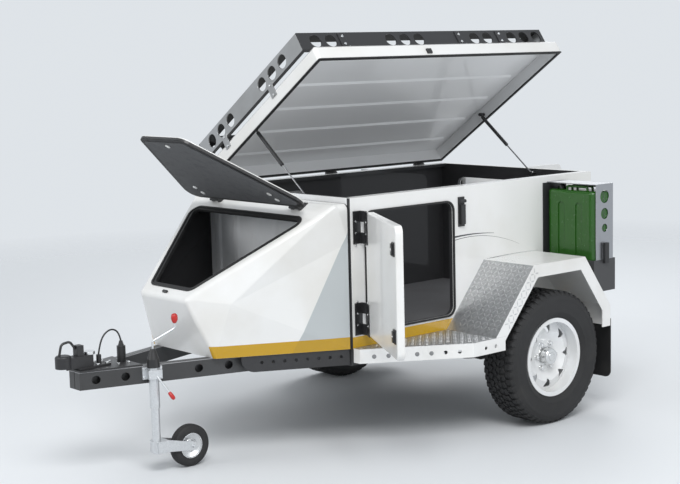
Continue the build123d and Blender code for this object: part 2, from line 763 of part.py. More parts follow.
def jockey_grips():
    """Grips of the crank and of the clamp lever, each on the end of its rod."""
    low = crank_top() + CRANK_END
    crank_grip = bar((-CRANK_THROW, 0, low), (-CRANK_THROW, 0, low + GRIP_LENGTH), GRIP_RADIUS)
    start, end, way = lever_line()
    lever_grip = bar(end, end + way * LEVER_GRIP_LENGTH, LEVER_GRIP_RADIUS)
    return jockey_place() * group(crank_grip, lever_grip)


def jockey_stem():
    stem = bar((0, 0, FORK_TOP + FIT_GAP), (0, 0, JOCKEY_STEM_TOP), JOCKEY_STEM_RADIUS)
    stem += bar((0, 0, FORK_TOP - FORK_PIN_LENGTH), (0, 0, FORK_TOP + FIT_GAP), FORK_PIN_RADIUS)
    return jockey_place() * stem


def jockey_turned():
    """The same tube axis with the wheel trailing straight back."""
    return Pos(jockey_place().position)


def jockey_fork():
    gap_half = JOCKEY_WHEEL_WIDTH / 2 + FORK_GAP
    half = gap_half + FORK_CHEEK
    low = FORK_TOP - FORK_DEPTH
    yoke = block((-YOKE_REAR, YOKE_FRONT), (-half, half), (low, FORK_TOP))
    yoke += bar((0, 0, low), (0, 0, FORK_TOP), JOCKEY_TUBE_RADIUS + FORK_WALL)
    pin_end = FORK_TOP - FORK_PIN_LENGTH - PIN_GAP
    yoke -= bar((0, 0, pin_end), (0, 0, FORK_TOP), FORK_PIN_RADIUS + RUNNING_GAP)
    axle_z = JOCKEY_WHEEL_RADIUS
    eye_back, eye_rise = FORK_EYE * 0.64, FORK_EYE * 0.9
    outline = [(-YOKE_REAR, low), (-YOKE_REAR, FORK_TOP), (-JOCKEY_TRAIL - eye_back, axle_z + eye_rise),
               (-JOCKEY_TRAIL - FORK_EYE, axle_z), (-JOCKEY_TRAIL - eye_back, axle_z - eye_rise)]
    for inner, outer in ((-half, -gap_half), (gap_half, half)):
        yoke += prism_y(outline, (inner, outer))
    axle_half = half + JOCKEY_AXLE_END
    yoke += bar((-JOCKEY_TRAIL, -axle_half, axle_z), (-JOCKEY_TRAIL, axle_half, axle_z), JOCKEY_AXLE_RADIUS)
    return jockey_turned() * yoke


def jockey_wheel_place():
    return jockey_turned() * Pos(-JOCKEY_TRAIL, 0, JOCKEY_WHEEL_RADIUS)


def jockey_rim():
    half = JOCKEY_WHEEL_WIDTH / 2
    dish = half * 0.4
    return jockey_wheel_place() * ring_of([
        (JOCKEY_AXLE_RADIUS + RUNNING_GAP, half), (JOCKEY_BOSS_RADIUS, half),
        (JOCKEY_BOSS_RADIUS * 1.3, dish), (JOCKEY_RIM_RADIUS, half * 0.72),
    ])


def jockey_tyre():
    half = JOCKEY_WHEEL_WIDTH / 2
    inner = JOCKEY_RIM_RADIUS + FIT_GAP
    shoulder = JOCKEY_WHEEL_RADIUS - JOCKEY_SHOULDER
    return jockey_wheel_place() * ring_of([
        (inner, half * 0.8), ((inner + shoulder) / 2, half), (shoulder, half * 0.94),
        (JOCKEY_WHEEL_RADIUS - JOCKEY_SHOULDER / 4, half * 0.74), (JOCKEY_WHEEL_RADIUS, half * 0.45),
    ])


# Body box

def opening_middle():
    return (OPENING_FRONT + OPENING_REAR) / 2, (OPENING_BOTTOM + OPENING_TOP) / 2


def side_plane(y):
    x, z = opening_middle()
    return facing(x, y, z, (-1, 0, 0), (0, 1, 0))


def tail_plane(x):
    return facing(x, 0, opening_middle()[1], (0, -1, 0), (-1, 0, 0))


def body_side():
    """Side wall with its door opening and the rim that the lid closes on."""
    wall = block((BODY_REAR, BODY_FRONT), (BODY_HALF - WALL, BODY_HALF), (FRAME_TOP, BODY_TOP))
    wall += block((BODY_REAR + WALL, BODY_FRONT - WALL), (BODY_HALF - WALL - RIM_FLANGE, BODY_HALF - WALL),
                  (BODY_TOP - RIM_DEPTH, BODY_TOP))
    hole = rounded(OPENING_FRONT - OPENING_REAR, OPENING_TOP - OPENING_BOTTOM, OPENING_CORNER)
    return wall - extrude(side_plane(BODY_HALF) * hole, amount=WALL * 2, both=True)


def body_front():
    """Bulkhead with upright ribs towards the nose locker."""
    inner = BODY_HALF - WALL
    wall = block((BODY_FRONT - WALL, BODY_FRONT), (-inner, inner), (FRAME_TOP, BODY_TOP))
    reach = NOSE_HALF - RIB_MARGIN
    pitch = 2 * reach / (RIB_COUNT - 1)
    for index in range(RIB_COUNT):
        y = -reach + index * pitch
        rib = prism_z([(BODY_FRONT, y - RIB_WIDTH / 2), (BODY_FRONT + RIB_DEPTH, y - RIB_WIDTH / 4),
                       (BODY_FRONT + RIB_DEPTH, y + RIB_WIDTH / 4), (BODY_FRONT, y + RIB_WIDTH / 2)],
                      (FRAME_TOP + RIB_FOOT, NOSE_TOP - RIB_HEAD))
        wall += rib
    return wall


def body_rear():
    inner = BODY_HALF - WALL
    wall = block((BODY_REAR, BODY_REAR + WALL), (-inner, inner), (FRAME_TOP, BODY_TOP))
    hole = rounded(2 * TAIL_OPENING_HALF, OPENING_TOP - OPENING_BOTTOM, OPENING_CORNER)
    return wall - extrude(tail_plane(BODY_REAR) * hole, amount=WALL * 2, both=True)


def body_floor():
    inner = BODY_HALF - WALL
    return block((BODY_REAR + WALL, BODY_FRONT - WALL), (-inner, inner), (FRAME_TOP, FRAME_TOP + FLOOR))


def mouth_outline(spread, corner):
    """The hatch mouth on the nose slope, in a plane with y up the slope."""
    run = MOUTH_BOTTOM - MOUTH_TOP
    lean = (MOUTH_TOP_HALF - MOUTH_BOTTOM_HALF) / run
    side = spread * hypot(1, lean)
    top_half = MOUTH_TOP_HALF + lean * spread + side
    bottom_half = MOUTH_BOTTOM_HALF - lean * spread + side
    shape = Polygon((-bottom_half, -MOUTH_BOTTOM - spread), (bottom_half, -MOUTH_BOTTOM - spread),
                    (top_half, -MOUTH_TOP + spread), (-top_half, -MOUTH_TOP + spread), align=None)
    return fillet(shape.vertices(), corner)


def slope_plane(height):
    return Plane(origin=SLOPE_EDGE + SLOPE_OUT * height, x_dir=(0, 1, 0), z_dir=SLOPE_OUT)


def nose_form(inset, rear):
    """The faceted nose, from the bulkhead to its sloping face and undercut front."""
    top = NOSE_TOP - inset
    half = NOSE_HALF - inset
    slope_pull = inset * tan(radians(SLOPE_FALL) / 2)
    front_x, front_y, front_z = NOSE_FRONT_TOP
    knee_x, knee_y, knee_z = NOSE_KNEE
    base = FRAME_TOP + inset
    left = {
        "crest": (rear, half, top),
        "brow": (SLOPE_START - slope_pull, half, top),
        "tip": (front_x - 1.4 * inset, front_y - 0.6 * inset, front_z - 0.6 * inset),
        "chin": (NOSE_FRONT_BOTTOM[0] - 1.4 * inset, NOSE_FRONT_BOTTOM[1] - 0.7 * inset, base),
        "heel": (rear, half, base),
        "crease": (rear, half, NOSE_CREASE),
        "knee": (knee_x - 0.6 * inset, knee_y - inset, knee_z),
    }
    right = {name: (x, -y, z) for name, (x, y, z) in left.items()}

    def sheet(*corners):
        return Face(Wire.make_polygon([Vector(*corner) for corner in corners], close=True))

    faces = []
    for name_a, name_b in (("crest", "brow"), ("brow", "tip"), ("tip", "chin"), ("chin", "heel")):
        faces.append(sheet(left[name_a], left[name_b], right[name_b], right[name_a]))
    faces.append(sheet(left["crest"], left["crease"], left["heel"],
                       right["heel"], right["crease"], right["crest"]))
    for side in (left, right):
        for names in (("brow", "tip", "knee"), ("brow", "knee", "crease"), ("brow", "crease", "crest"),
                      ("tip", "chin", "knee"), ("chin", "heel", "knee"), ("heel", "crease", "knee")):
            faces.append(sheet(*[side[name] for name in names]))
    return Solid(Shell(faces))


def moulded_edges(shell):
    """The outer edges that meet at the brow and at the tip of the nose."""
    tip_x, tip_y, tip_z = NOSE_FRONT_TOP
    corners = [Vector(x, side * y, z) for side in (-1, 1)
               for x, y, z in ((SLOPE_START, NOSE_HALF, NOSE_TOP), (tip_x, tip_y, tip_z))]
    return [edge for edge in shell.edges()
            if any((Vector(*end) - corner).length < FIT_GAP for end in edge.vertices() for corner in corners)]


def nose_shell():
    shell = nose_form(0, NOSE_REAR) - nose_form(NOSE_WALL, NOSE_REAR - NOSE_WALL)
    shell = fillet(moulded_edges(shell), NOSE_ROUND)
    mouth = extrude(slope_plane(0) * mouth_outline(0, MOUTH_CORNER), amount=NOSE_WALL * 3, both=True)
    return shell - mouth


def nose_plates():
    """Perforated side plates that carry the edge of the nose."""
    turn = degrees(atan2(NOSE_FRONT_BOTTOM[1] - NOSE_HALF, NOSE_FRONT_BOTTOM[0] - NOSE_REAR))
    depth = FRAME_DEPTH - NOSE_PLATE_TRIM
    back = NOSE_PLATE_SHEET * 2
    plate = block((NOSE_PLATE_START, NOSE_PLATE_LENGTH), (-back, -back + NOSE_PLATE_SHEET),
                  (FRAME_TOP - depth, FRAME_TOP))
    corner = plate.edges().filter_by(Axis.Y).sort_by(Axis.X)[-2:].sort_by(Axis.Z)[0]
    plate = fillet([corner], depth * 0.8)
    run = NOSE_PLATE_LENGTH - NOSE_PLATE_HOLE_START - NOSE_PLATE_HOLE_END
    z = FRAME_TOP - depth * 0.45
    for index in range(NOSE_PLATE_HOLES):
        x = NOSE_PLATE_HOLE_START + index * run / (NOSE_PLATE_HOLES - 1)
        plate -= bar((x, -2 * back, z), (x, 0, z), NOSE_PLATE_HOLE_RADIUS)
    return pair(Pos(BODY_FRONT, NOSE_HALF, 0) * Rot(0, 0, turn) * plate)


def nose_joint():
    """The rubber strip between the nose and the bulkhead."""
    strip = block((BODY_FRONT, NOSE_REAR), (-NOSE_HALF, NOSE_HALF), (FRAME_TOP, NOSE_TOP))
    strip = fillet(strip.edges().filter_by(Axis.X).sort_by(Axis.Z)[-2:], NOSE_ROUND)
    inner = NOSE_HALF - NOSE_WALL
    return strip - block((BODY_FRONT, NOSE_REAR), (-inner, inner),
                         (FRAME_TOP + NOSE_WALL, NOSE_TOP - NOSE_WALL))


def body_seals():
    width = OPENING_FRONT - OPENING_REAR
    height = OPENING_TOP - OPENING_BOTTOM
    door_ring = frame_ring(width, height, OPENING_CORNER, SEAL_WIDTH, SEAL_HEIGHT)
    door_ring = side_plane(BODY_HALF) * door_ring
    tail_ring = frame_ring(2 * TAIL_OPENING_HALF, height, OPENING_CORNER, SEAL_WIDTH, SEAL_HEIGHT)
    lip = mouth_outline(SEAL_WIDTH, MOUTH_CORNER + SEAL_WIDTH) - mouth_outline(0, MOUTH_CORNER)
    mouth = extrude(slope_plane(0) * lip, amount=HATCH_STAND - 1)
    return group(door_ring, mirrored(door_ring), tail_plane(BODY_REAR) * tail_ring, nose_joint(), mouth)


# Hinges. A door hinge has its pin along z, the fixed leaf towards +x on a surface below the
# pin, and the door towards -x. A strap hinge has both leaves on one surface below the pin.

def door_hinge_fixed():
    drop = DOOR_FACE - KNUCKLE_RADIUS / 2
    third = HINGE_HEIGHT / 3
    half = HINGE_HEIGHT / 2
    leaf = block((0, HINGE_LEAF), (-drop, -drop + HINGE_PLATE), (-half, half))
    for low, high in ((-half, -third / 2), (third / 2, half)):
        leaf += bar((0, 0, low), (0, 0, high), KNUCKLE_RADIUS)
        leaf += block((-KNUCKLE_RADIUS + 1, KNUCKLE_RADIUS), (-drop, 0), (low, high))
    return leaf + bar((0, 0, -half), (0, 0, half), HINGE_PIN_RADIUS)


def door_hinge_moving():
    third = HINGE_HEIGHT / 3
    low, high = -third / 2 + PIN_GAP, third / 2 - PIN_GAP
    half = HINGE_HEIGHT / 2
    rise = KNUCKLE_RADIUS / 2
    leaf = block((-HINGE_LEAF - DOOR_PIN_GAP, -DOOR_PIN_GAP), (rise, rise + HINGE_PLATE), (-half, half))
    leaf += block((-DOOR_PIN_GAP, 0), (rise, rise + HINGE_PLATE - 1), (low, high))
    leaf += bar((0, 0, low), (0, 0, high), KNUCKLE_RADIUS)
    return leaf - bar((0, 0, -half), (0, 0, half), HINGE_PIN_RADIUS + RUNNING_GAP)


def strap_hinge_fixed(rise):
    third = STRAP_LENGTH / 3
    half = STRAP_LENGTH / 2
    leaf = block((-STRAP_LEAF, -STRAP_KNUCKLE - 3), (-rise, -rise + STRAP_PLATE), (-half, half))
    for low, high in ((-half, -third / 2), (third / 2, half)):
        leaf += bar((0, 0, low), (0, 0, high), STRAP_KNUCKLE)
        leaf += block((-STRAP_KNUCKLE - 6, 0), (-rise, -2), (low, high))
    return leaf + bar((0, 0, -half), (0, 0, half), STRAP_PIN_RADIUS)


def strap_hinge_moving(low_y, start):
    """Moving leaf on a surface at low_y from the pin, which begins at start."""
    third = STRAP_LENGTH / 3
    half = STRAP_LENGTH / 2
    low, high = -third / 2 + PIN_GAP, third / 2 - PIN_GAP
    leaf = block((start, STRAP_LEAF), (low_y, low_y + STRAP_PLATE), (-half, half))
    leaf += bar((0, 0, low), (0, 0, high), STRAP_KNUCKLE)
    web = (min(low_y, -2), max(low_y + STRAP_PLATE, 2))
    leaf += block((0, start + 2), (low_y, low_y + STRAP_PLATE), (low, high))
    leaf += block((0, STRAP_KNUCKLE - 1), web, (low, high))
    return leaf - bar((0, 0, -half), (0, 0, half), STRAP_PIN_RADIUS + RUNNING_GAP)


def hinge_heights():
    return OPENING_BOTTOM + HINGE_INSET * 0.7, OPENING_TOP - HINGE_INSET * 0.7


def side_hinges(shape):
    return [Pos(LEFT_PIN_X, LEFT_PIN_Y, z) * shape for z in hinge_heights()]


def tail_pin():
    """The tail door's pin, on the right-hand rear edge."""
    return BODY_REAR - DOOR_FACE + KNUCKLE_RADIUS / 2, -TAIL_OPENING_HALF - DOOR_HINGE_OVERLAP - DOOR_PIN_GAP


def tail_hinges(shape):
    x, y = tail_pin()
    turned = mirrored(Rot(0, 0, 90) * shape)
    return [Pos(x, y, z) * turned for z in hinge_heights()]


def lid_hinges(shape):
    turned = Plane(origin=(0, LID_PIN[0], LID_PIN[1]), x_dir=(0, 0, 1), z_dir=(1, 0, 0))
    return [Pos(x, 0, 0) * (turned * shape) for x in LID_HINGES]


def hatch_hinges(shape):
    return [Plane(origin=HATCH_PIN + Vector(0, y, 0), x_dir=SLOPE_DOWN, z_dir=(0, -1, 0)) * shape
            for y in (-HATCH_HINGE_Y, HATCH_HINGE_Y)]


def lid_latch():
    """Over-centre latch on the left side, below the rim."""
    low, high = BODY_TOP - LATCH_LOW, BODY_TOP - LATCH_HIGH
    face = BODY_HALF + LATCH_PLATE
    latch = block((LATCH_X - LATCH_HALF, LATCH_X + LATCH_HALF), (BODY_HALF, face), (low, high))
    latch += block((LATCH_X - LATCH_ARM_HALF, LATCH_X + LATCH_ARM_HALF), (face, face + LATCH_ARM_DEPTH),
                   (low + LATCH_ARM_FOOT, high - LATCH_ARM_HEAD))
    roller = (face + LATCH_ROLLER_RADIUS - 1, high - LATCH_ROLLER_DROP)
    half = LATCH_HALF - 2
    return latch + bar((LATCH_X - half, *roller), (LATCH_X + half, *roller), LATCH_ROLLER_RADIUS)


def strut_places():
    return BODY_FRONT - WALL - STRUT_INSET, BODY_REAR + WALL + STRUT_INSET


def strut_tub_point():
    return LID_PIN[0] + STRUT_TUB_REACH, BODY_TOP - STRUT_TUB_DROP


def strut_studs():
    y, z = strut_tub_point()
    front, rear = strut_places()
    half = STRUT_EYE_WIDTH / 2 + 2
    return [bar((BODY_FRONT - WALL, y, z), (front + half, y, z), STRUT_PIN_RADIUS + 1),
            bar((BODY_REAR + WALL, y, z), (rear - half, y, z), STRUT_PIN_RADIUS + 1)]


def body_fittings():
    doors = side_hinges(door_hinge_fixed())
    keeper_down = MOUTH_BOTTOM + HATCH_OVERLAP + KEEPER_GAP + KEEPER_LENGTH / 2
    keeper = Pos(0, -keeper_down, KEEPER_HEIGHT / 2) * Box(KEEPER_WIDTH, KEEPER_LENGTH, KEEPER_HEIGHT)
    return group(*doors, *[mirrored(hinge) for hinge in doors], *tail_hinges(door_hinge_fixed()),
                 *lid_hinges(strap_hinge_fixed(LID_PIN_OUT)), *hatch_hinges(strap_hinge_fixed(HATCH_PIN_UP)),
                 lid_latch(), *strut_studs(), slope_plane(0) * keeper)


# Doors, built shut and then turned about their pins

def side_door_panel():
    width = OPENING_FRONT - OPENING_REAR + DOOR_OVERLAP + DOOR_HINGE_OVERLAP
    height = OPENING_TOP - OPENING_BOTTOM + 2 * DOOR_OVERLAP
    shift = (DOOR_HINGE_OVERLAP - DOOR_OVERLAP) / 2
    panel = extrude(rounded(width, height, DOOR_CORNER), amount=DOOR_THICK)
    front = panel.faces().sort_by(Axis.Z)[-1]
    panel = fillet(front.edges(), DOOR_THICK / 4)
    return side_plane(BODY_HALF + DOOR_STAND) * (Pos(-shift, 0, 0) * panel)


def tail_door_panel():
    width = 2 * TAIL_OPENING_HALF + DOOR_OVERLAP + DOOR_HINGE_OVERLAP
    height = OPENING_TOP - OPENING_BOTTOM + 2 * DOOR_OVERLAP
    shift = (DOOR_HINGE_OVERLAP - DOOR_OVERLAP) / 2
    panel = extrude(rounded(width, height, DOOR_CORNER), amount=DOOR_THICK)
    front = panel.faces().sort_by(Axis.Z)[-1]
    panel = fillet(front.edges(), DOOR_THICK / 4)
    return tail_plane(BODY_REAR - DOOR_STAND) * (Pos(shift, 0, 0) * panel)


def compression_latch():
    """Flush paddle latch, standing up from the door's face."""
    latch = Pos(0, 0, PADDLE_SEAT / 2) * Box(LATCH_WIDTH, LATCH_HEIGHT, PADDLE_SEAT)
    paddle = Box(LATCH_WIDTH * 0.55, LATCH_HEIGHT * 0.8, PADDLE_RISE)
    return latch + Pos(0, 0, PADDLE_SEAT + PADDLE_RISE / 2) * paddle


def latch_rows():
    return OPENING_BOTTOM + HINGE_INSET, OPENING_TOP - HINGE_INSET


def side_door_fittings():
    face = facing(0, BODY_HALF + DOOR_FACE, 0, (-1, 0, 0), (0, 1, 0))
    place = -OPENING_REAR - LATCH_INSET + DOOR_OVERLAP
    latches = [face * Pos(place, z, 0) * compression_latch() for z in latch_rows()]
    return group(*side_hinges(door_hinge_moving()), *latches)


def tail_door_fittings():
    face = facing(BODY_REAR - DOOR_FACE, 0, 0, (0, -1, 0), (-1, 0, 0))
    place = -TAIL_OPENING_HALF - DOOR_OVERLAP + LATCH_INSET
    latches = [face * Pos(place, z, 0) * compression_latch() for z in latch_rows()]
    return group(*tail_hinges(door_hinge_moving()), *latches)


def left_door_turned(shape):
    return shape.rotate(Axis((LEFT_PIN_X, LEFT_PIN_Y, 0), (0, 0, 1)), -LEFT_DOOR_OPEN)


def tail_door_turned(shape):
    return shape.rotate(Axis((*tail_pin(), 0), (0, 0, 1)), TAIL_DOOR_OPEN)


# Lid, rack and struts, built shut and then raised about the right-hand hinges

def lid_raised(shape):
    return shape.rotate(Axis((0, *LID_PIN), (1, 0, 0)), LID_OPEN)


def lid_shell():
    top = LID_BASE + LID_HEIGHT
    shell = block((BODY_REAR, BODY_FRONT), (-BODY_HALF, BODY_HALF), (LID_BASE, top))
    shell = chamfer(shell.faces().sort_by(Axis.Z)[-1].edges(), LID_EDGE * 0.8, LID_EDGE)
    shell = fillet(shell.edges().filter_by(Axis.Z), LID_EDGE * 0.6)
    ceiling = top - LID_SKIN
    shell -= block((BODY_REAR + LID_WALL, BODY_FRONT - LID_WALL),
                   (-BODY_HALF + LID_WALL, BODY_HALF - LID_WALL), (LID_BASE, ceiling))
    reach = BODY_HALF - LID_WALL - LID_RIB_SIDE
    pitch = 2 * reach / (LID_RIBS - 1)
    start, end = BODY_REAR + LID_WALL + LID_RIB_END, BODY_FRONT - LID_WALL - LID_RIB_END
    low = ceiling - LID_RIB_DEPTH
    for index in range(LID_RIBS):
        y = -reach + index * pitch
        wide, narrow = LID_RIB_WIDTH / 2, LID_RIB_WIDTH / 3
        section = Polyline((start, y - wide, ceiling), (start, y - narrow, low),
                           (start, y + narrow, low), (start, y + wide, ceiling), close=True)
        shell += extrude(make_face(section), amount=end - start, dir=(1, 0, 0))
    return lid_raised(shell)


def lid_seal():
    def plan(inset):
        return (BODY_REAR + inset, BODY_FRONT - inset), (-BODY_HALF + inset, BODY_HALF - inset)

    outer = block(*plan(LID_SEAL_INSET), (LID_BASE - LID_GAP + 1, LID_BASE))
    return lid_raised(outer - block(*plan(LID_SEAL_INSET + LID_SEAL_BAND), (LID_BASE - LID_GAP, LID_BASE)))


def lid_studs():
    y = LID_PIN[0] + STRUT_LID_REACH
    z = LID_PIN[1] + STRUT_LID_RISE
    front, rear = strut_places()
    studs = []
    for wall, place, way in ((BODY_FRONT - LID_WALL, front, 1), (BODY_REAR + LID_WALL, rear, -1)):
        tip = place - way * (STRUT_EYE_WIDTH / 2 + STUD_END_GAP)
        collar = place + way * (STRUT_EYE_WIDTH / 2 + STUD_END_GAP)
        stud = bar((wall, y, z), (tip, y, z), STRUT_PIN_RADIUS)
        stud += bar((wall, y, z), (collar, y, z), STRUT_PIN_RADIUS + STUD_COLLAR)
        studs.append(stud + bar((tip, y, z), (tip - way * STUD_HEAD, y, z), STRUT_PIN_RADIUS + STUD_HEAD))
    return studs


def lid_fittings():
    catch = block((LATCH_X - CATCH_HALF, LATCH_X + CATCH_HALF), (BODY_HALF, BODY_HALF + CATCH_DEPTH),
                  (LID_BASE + CATCH_LOW, LID_BASE + CATCH_TOP))
    moving = strap_hinge_moving(-LID_PIN_OUT, STRAP_KNUCKLE + 3)
    return lid_raised(group(*lid_hinges(moving), *lid_studs(), catch))


def rack_box():
    """Plan of the roof rack on the shut lid."""
    return (BODY_REAR, BODY_FRONT), (-BODY_HALF + RACK_SIDE_INSET, BODY_HALF - RACK_SIDE_INSET)


def rack_rail_heights():
    low = LID_BASE + LID_HEIGHT + RACK_LIFT
    return low, low + RACK_RAIL


def rack_holes(start, end, shares, counts):
    """Places of the round holes along a rail: each group has a share of the length and a count."""
    places = []
    for share, count in zip(shares, counts):
        middle = start + share * (end - start)
        places += [middle + (step - (count - 1) / 2) * RACK_HOLE_PITCH for step in range(count)]
    return places


def rack_long_rail():
    """The left-hand rail, with angle feet on its outer face."""
    (start, end), (_, outer) = rack_box()
    low, high = rack_rail_heights()
    middle = (low + high) / 2
    rail = block((start, end), (outer - RACK_PLATE, outer), (low, high))
    for x in rack_holes(start, end, RACK_LONG_SHARE, RACK_LONG_COUNT):
        rail -= bar((x, outer - 2 * RACK_PLATE, middle), (x, outer + RACK_PLATE, middle), RACK_HOLE_RADIUS)
    base = low - RACK_LIFT
    for share in RACK_LONG_FOOT_SHARE:
        x = start + share * (end - start)
        width = (x - RACK_FOOT / 2, x + RACK_FOOT / 2)
        rail += block(width, (outer, outer + RACK_FOOT_PLATE), (base, high - RACK_FOOT_MARGIN))
        rail += block(width, (outer, outer + RACK_FOOT_FLANGE), (base, base + RACK_FOOT_PLATE))
    return rail


def rack_long_rails():
    return lid_raised(pair(rack_long_rail()))


def rack_cross_rail(face, way):
    """A rail over an end wall of the lid, held to it by short straps."""
    low, high = rack_rail_heights()
    middle = (low + high) / 2
    _, (right, left) = rack_box()
    start, end = right + RACK_PLATE, left - RACK_PLATE
    back = face - way * RACK_PLATE
    rail = block(sorted((back, face)), (start, end), (low, high))
    for y in rack_holes(start, end, RACK_CROSS_SHARE, RACK_CROSS_COUNT):
        rail -= bar((face - 2 * RACK_PLATE, y, middle), (face + 2 * RACK_PLATE, y, middle), RACK_HOLE_RADIUS)
    for share in RACK_CROSS_FOOT_SHARE:
        y = start + share * (end - start)
        rail += block(sorted((face, face + way * RACK_FOOT_PLATE)), (y - RACK_FOOT / 2, y + RACK_FOOT / 2),
                      (LID_BASE + RACK_STRAP_DOWN, low + RACK_STRAP_LAP))
    return rail


def rack_cross_rails():
    return lid_raised(group(rack_cross_rail(BODY_FRONT, 1), rack_cross_rail(BODY_REAR, -1)))


def strut_lid_point():
    """The strut's pin on the raised lid."""
    turn = radians(LID_OPEN)
    y = LID_PIN[0] + STRUT_LID_REACH * cos(turn) - STRUT_LID_RISE * sin(turn)
    return y, LID_PIN[1] + STRUT_LID_REACH * sin(turn) + STRUT_LID_RISE * cos(turn)


def strut_line(x):
    lid, tub = Vector(x, *strut_lid_point()), Vector(x, *strut_tub_point())
    return lid, tub, (tub - lid).normalized()


def strut_tube(x):
    lid, tub, way = strut_line(x)
    half = Vector(STRUT_EYE_WIDTH / 2, 0, 0)
    tube = bar(lid + way * STRUT_NECK, lid + way * STRUT_TUBE_LENGTH, STRUT_TUBE_RADIUS)
    bore = lid + way * (STRUT_NECK + STRUT_END_WALL)
    tube -= bar(bore, lid + way * STRUT_TUBE_LENGTH, STRUT_ROD_RADIUS + FIT_GAP)
    tube += bar(lid, lid + way * STRUT_NECK, STRUT_ROD_RADIUS)
    tube += bar(lid - half, lid + half, STRUT_EYE_RADIUS)
    return tube - bar(lid - half, lid + half, STRUT_PIN_RADIUS + RUNNING_GAP)


def strut_rod(x):
    lid, tub, way = strut_line(x)
    half = Vector(STRUT_EYE_WIDTH / 2, 0, 0)
    inner = STRUT_TUBE_LENGTH - STRUT_ROD_ENTRY
    rod = bar(lid + way * inner, tub - way * (STRUT_EYE_RADIUS - 2), STRUT_ROD_RADIUS)
    return rod + bar(tub - half, tub + half, STRUT_EYE_RADIUS)


# Hatch over the nose locker, built shut and then raised about its upper edge

def hatch_raised(shape):
    return shape.rotate(Axis(tuple(HATCH_PIN), (0, 1, 0)), -HATCH_OPEN)


def hatch_panel():
    outline = mouth_outline(HATCH_OVERLAP, MOUTH_CORNER + HATCH_OVERLAP)
    panel = extrude(outline, amount=HATCH_THICK)
    panel = fillet(panel.faces().sort_by(Axis.Z)[-1].edges(), HATCH_THICK / 3)
    return hatch_raised(slope_plane(HATCH_STAND) * panel)


def hatch_lining():
    outline = mouth_outline(-FIT_GAP * 4, MOUTH_CORNER)
    return hatch_raised(extrude(slope_plane(HATCH_STAND) * outline, amount=-LINING_THICK))


def hatch_fittings():
    face = HATCH_STAND + HATCH_THICK - HATCH_PIN_UP
    start = MOUTH_TOP - HATCH_OVERLAP - HATCH_PIN_DOWN
    hinges = hatch_hinges(strap_hinge_moving(face, start - 4))
    knob = Pos(0, -MOUTH_BOTTOM + KNOB_UP, KNOB_HEIGHT / 2) * Box(KNOB_WIDTH, KNOB_LENGTH, KNOB_HEIGHT)
    return hatch_raised(group(*hinges, slope_plane(HATCH_STAND + HATCH_THICK) * knob))


# Fenders, steps, mudflaps

def fender_line():
    foot = FENDER_FLAT_FRONT + (FENDER_TOP - STEP_TOP) / FENDER_SLOPE
    return [(foot, STEP_TOP), (FENDER_FLAT_FRONT, FENDER_TOP), (FENDER_FLAT_REAR, FENDER_TOP),
            (FENDER_TAIL, FENDER_KNEE), (FENDER_TAIL, FENDER_BOTTOM)]


def fender():
    """Folded sheet with an outer flange, its front foot standing on the step."""
    line = fender_line()
    sheet = prism_y(line + inset_line(line, FENDER_SHEET)[::-1], (BODY_HALF, FENDER_HALF))
    sheet += prism_y(line + inset_line(line, FENDER_FLANGE)[::-1], (FENDER_HALF - FENDER_SHEET, FENDER_HALF))
    return sheet - block((STEP_REAR, line[0][0]), (BODY_HALF, FENDER_HALF), (STEP_TOP - STEP_SKIRT, STEP_TOP))


def step_plan(inset):
    return [(STEP_REAR + inset, BODY_HALF), (STEP_REAR + inset, FENDER_HALF - inset),
            (STEP_BEND - inset * 0.3, FENDER_HALF - inset), (BODY_FRONT - inset, STEP_TIP_HALF - inset),
            (BODY_FRONT - inset, BODY_HALF)]


def step():
    """Chequer-plate step with a drilled skirt along its open edges."""
    low = STEP_TOP - STEP_SKIRT
    shape = prism_z(step_plan(0), (low, STEP_TOP))
    shape -= prism_z(step_plan(STEP_SHEET), (low, STEP_TOP - STEP_SHEET))
    middle = low + STEP_SKIRT * 0.45
    for x in (STEP_REAR + STEP_HOLE_PITCH, STEP_REAR + 2 * STEP_HOLE_PITCH):
        inner, outer = FENDER_HALF - 2 * STEP_SHEET, FENDER_HALF + STEP_SHEET
        shape -= bar((x, inner, middle), (x, outer, middle), STEP_HOLE_RADIUS)
    run = Vector(BODY_FRONT - STEP_BEND, STEP_TIP_HALF - FENDER_HALF, 0)
    out = Vector(-run.Y, run.X, 0).normalized() * (3 * STEP_SHEET)
    count = int(run.length // STEP_HOLE_PITCH)
    for index in range(1, count):
        place = Vector(STEP_BEND, FENDER_HALF, middle) + run * (index / count)
        shape -= bar(place - out, place + out, STEP_HOLE_RADIUS)
    return shape


def mudflap():
    back = FENDER_TAIL - FLAP_THICK
    flap = block((back, FENDER_TAIL), (FENDER_HALF - FLAP_WIDTH, FENDER_HALF), (FLAP_BOTTOM, FLAP_TOP))
    return fillet(flap.edges().filter_by(Axis.X).sort_by(Axis.Z)[:2], FLAP_CORNER)


# Jerry cans in their side holders

def can_middle():
    return CAN_FRONT - CAN_DEPTH / 2, BODY_HALF + CAN_WALL_GAP + CAN_WIDTH / 2


def can_flutes():
    """Upright grooves pressed into the broad faces of a can."""
    x, y = can_middle()
    groove = extrude(SlotOverall(CAN_FLUTE_LENGTH, CAN_FLUTE_WIDTH), amount=CAN_FLUTE_DEPTH, both=True)
    z = CAN_BOTTOM + CAN_BODY / 2
    return [facing(x + side * CAN_DEPTH / 2, y + offset, z, (0, 0, 1), (1, 0, 0)) * groove
            for side in (-1, 1) for offset in (-CAN_FLUTE_OFFSET, CAN_FLUTE_OFFSET)]


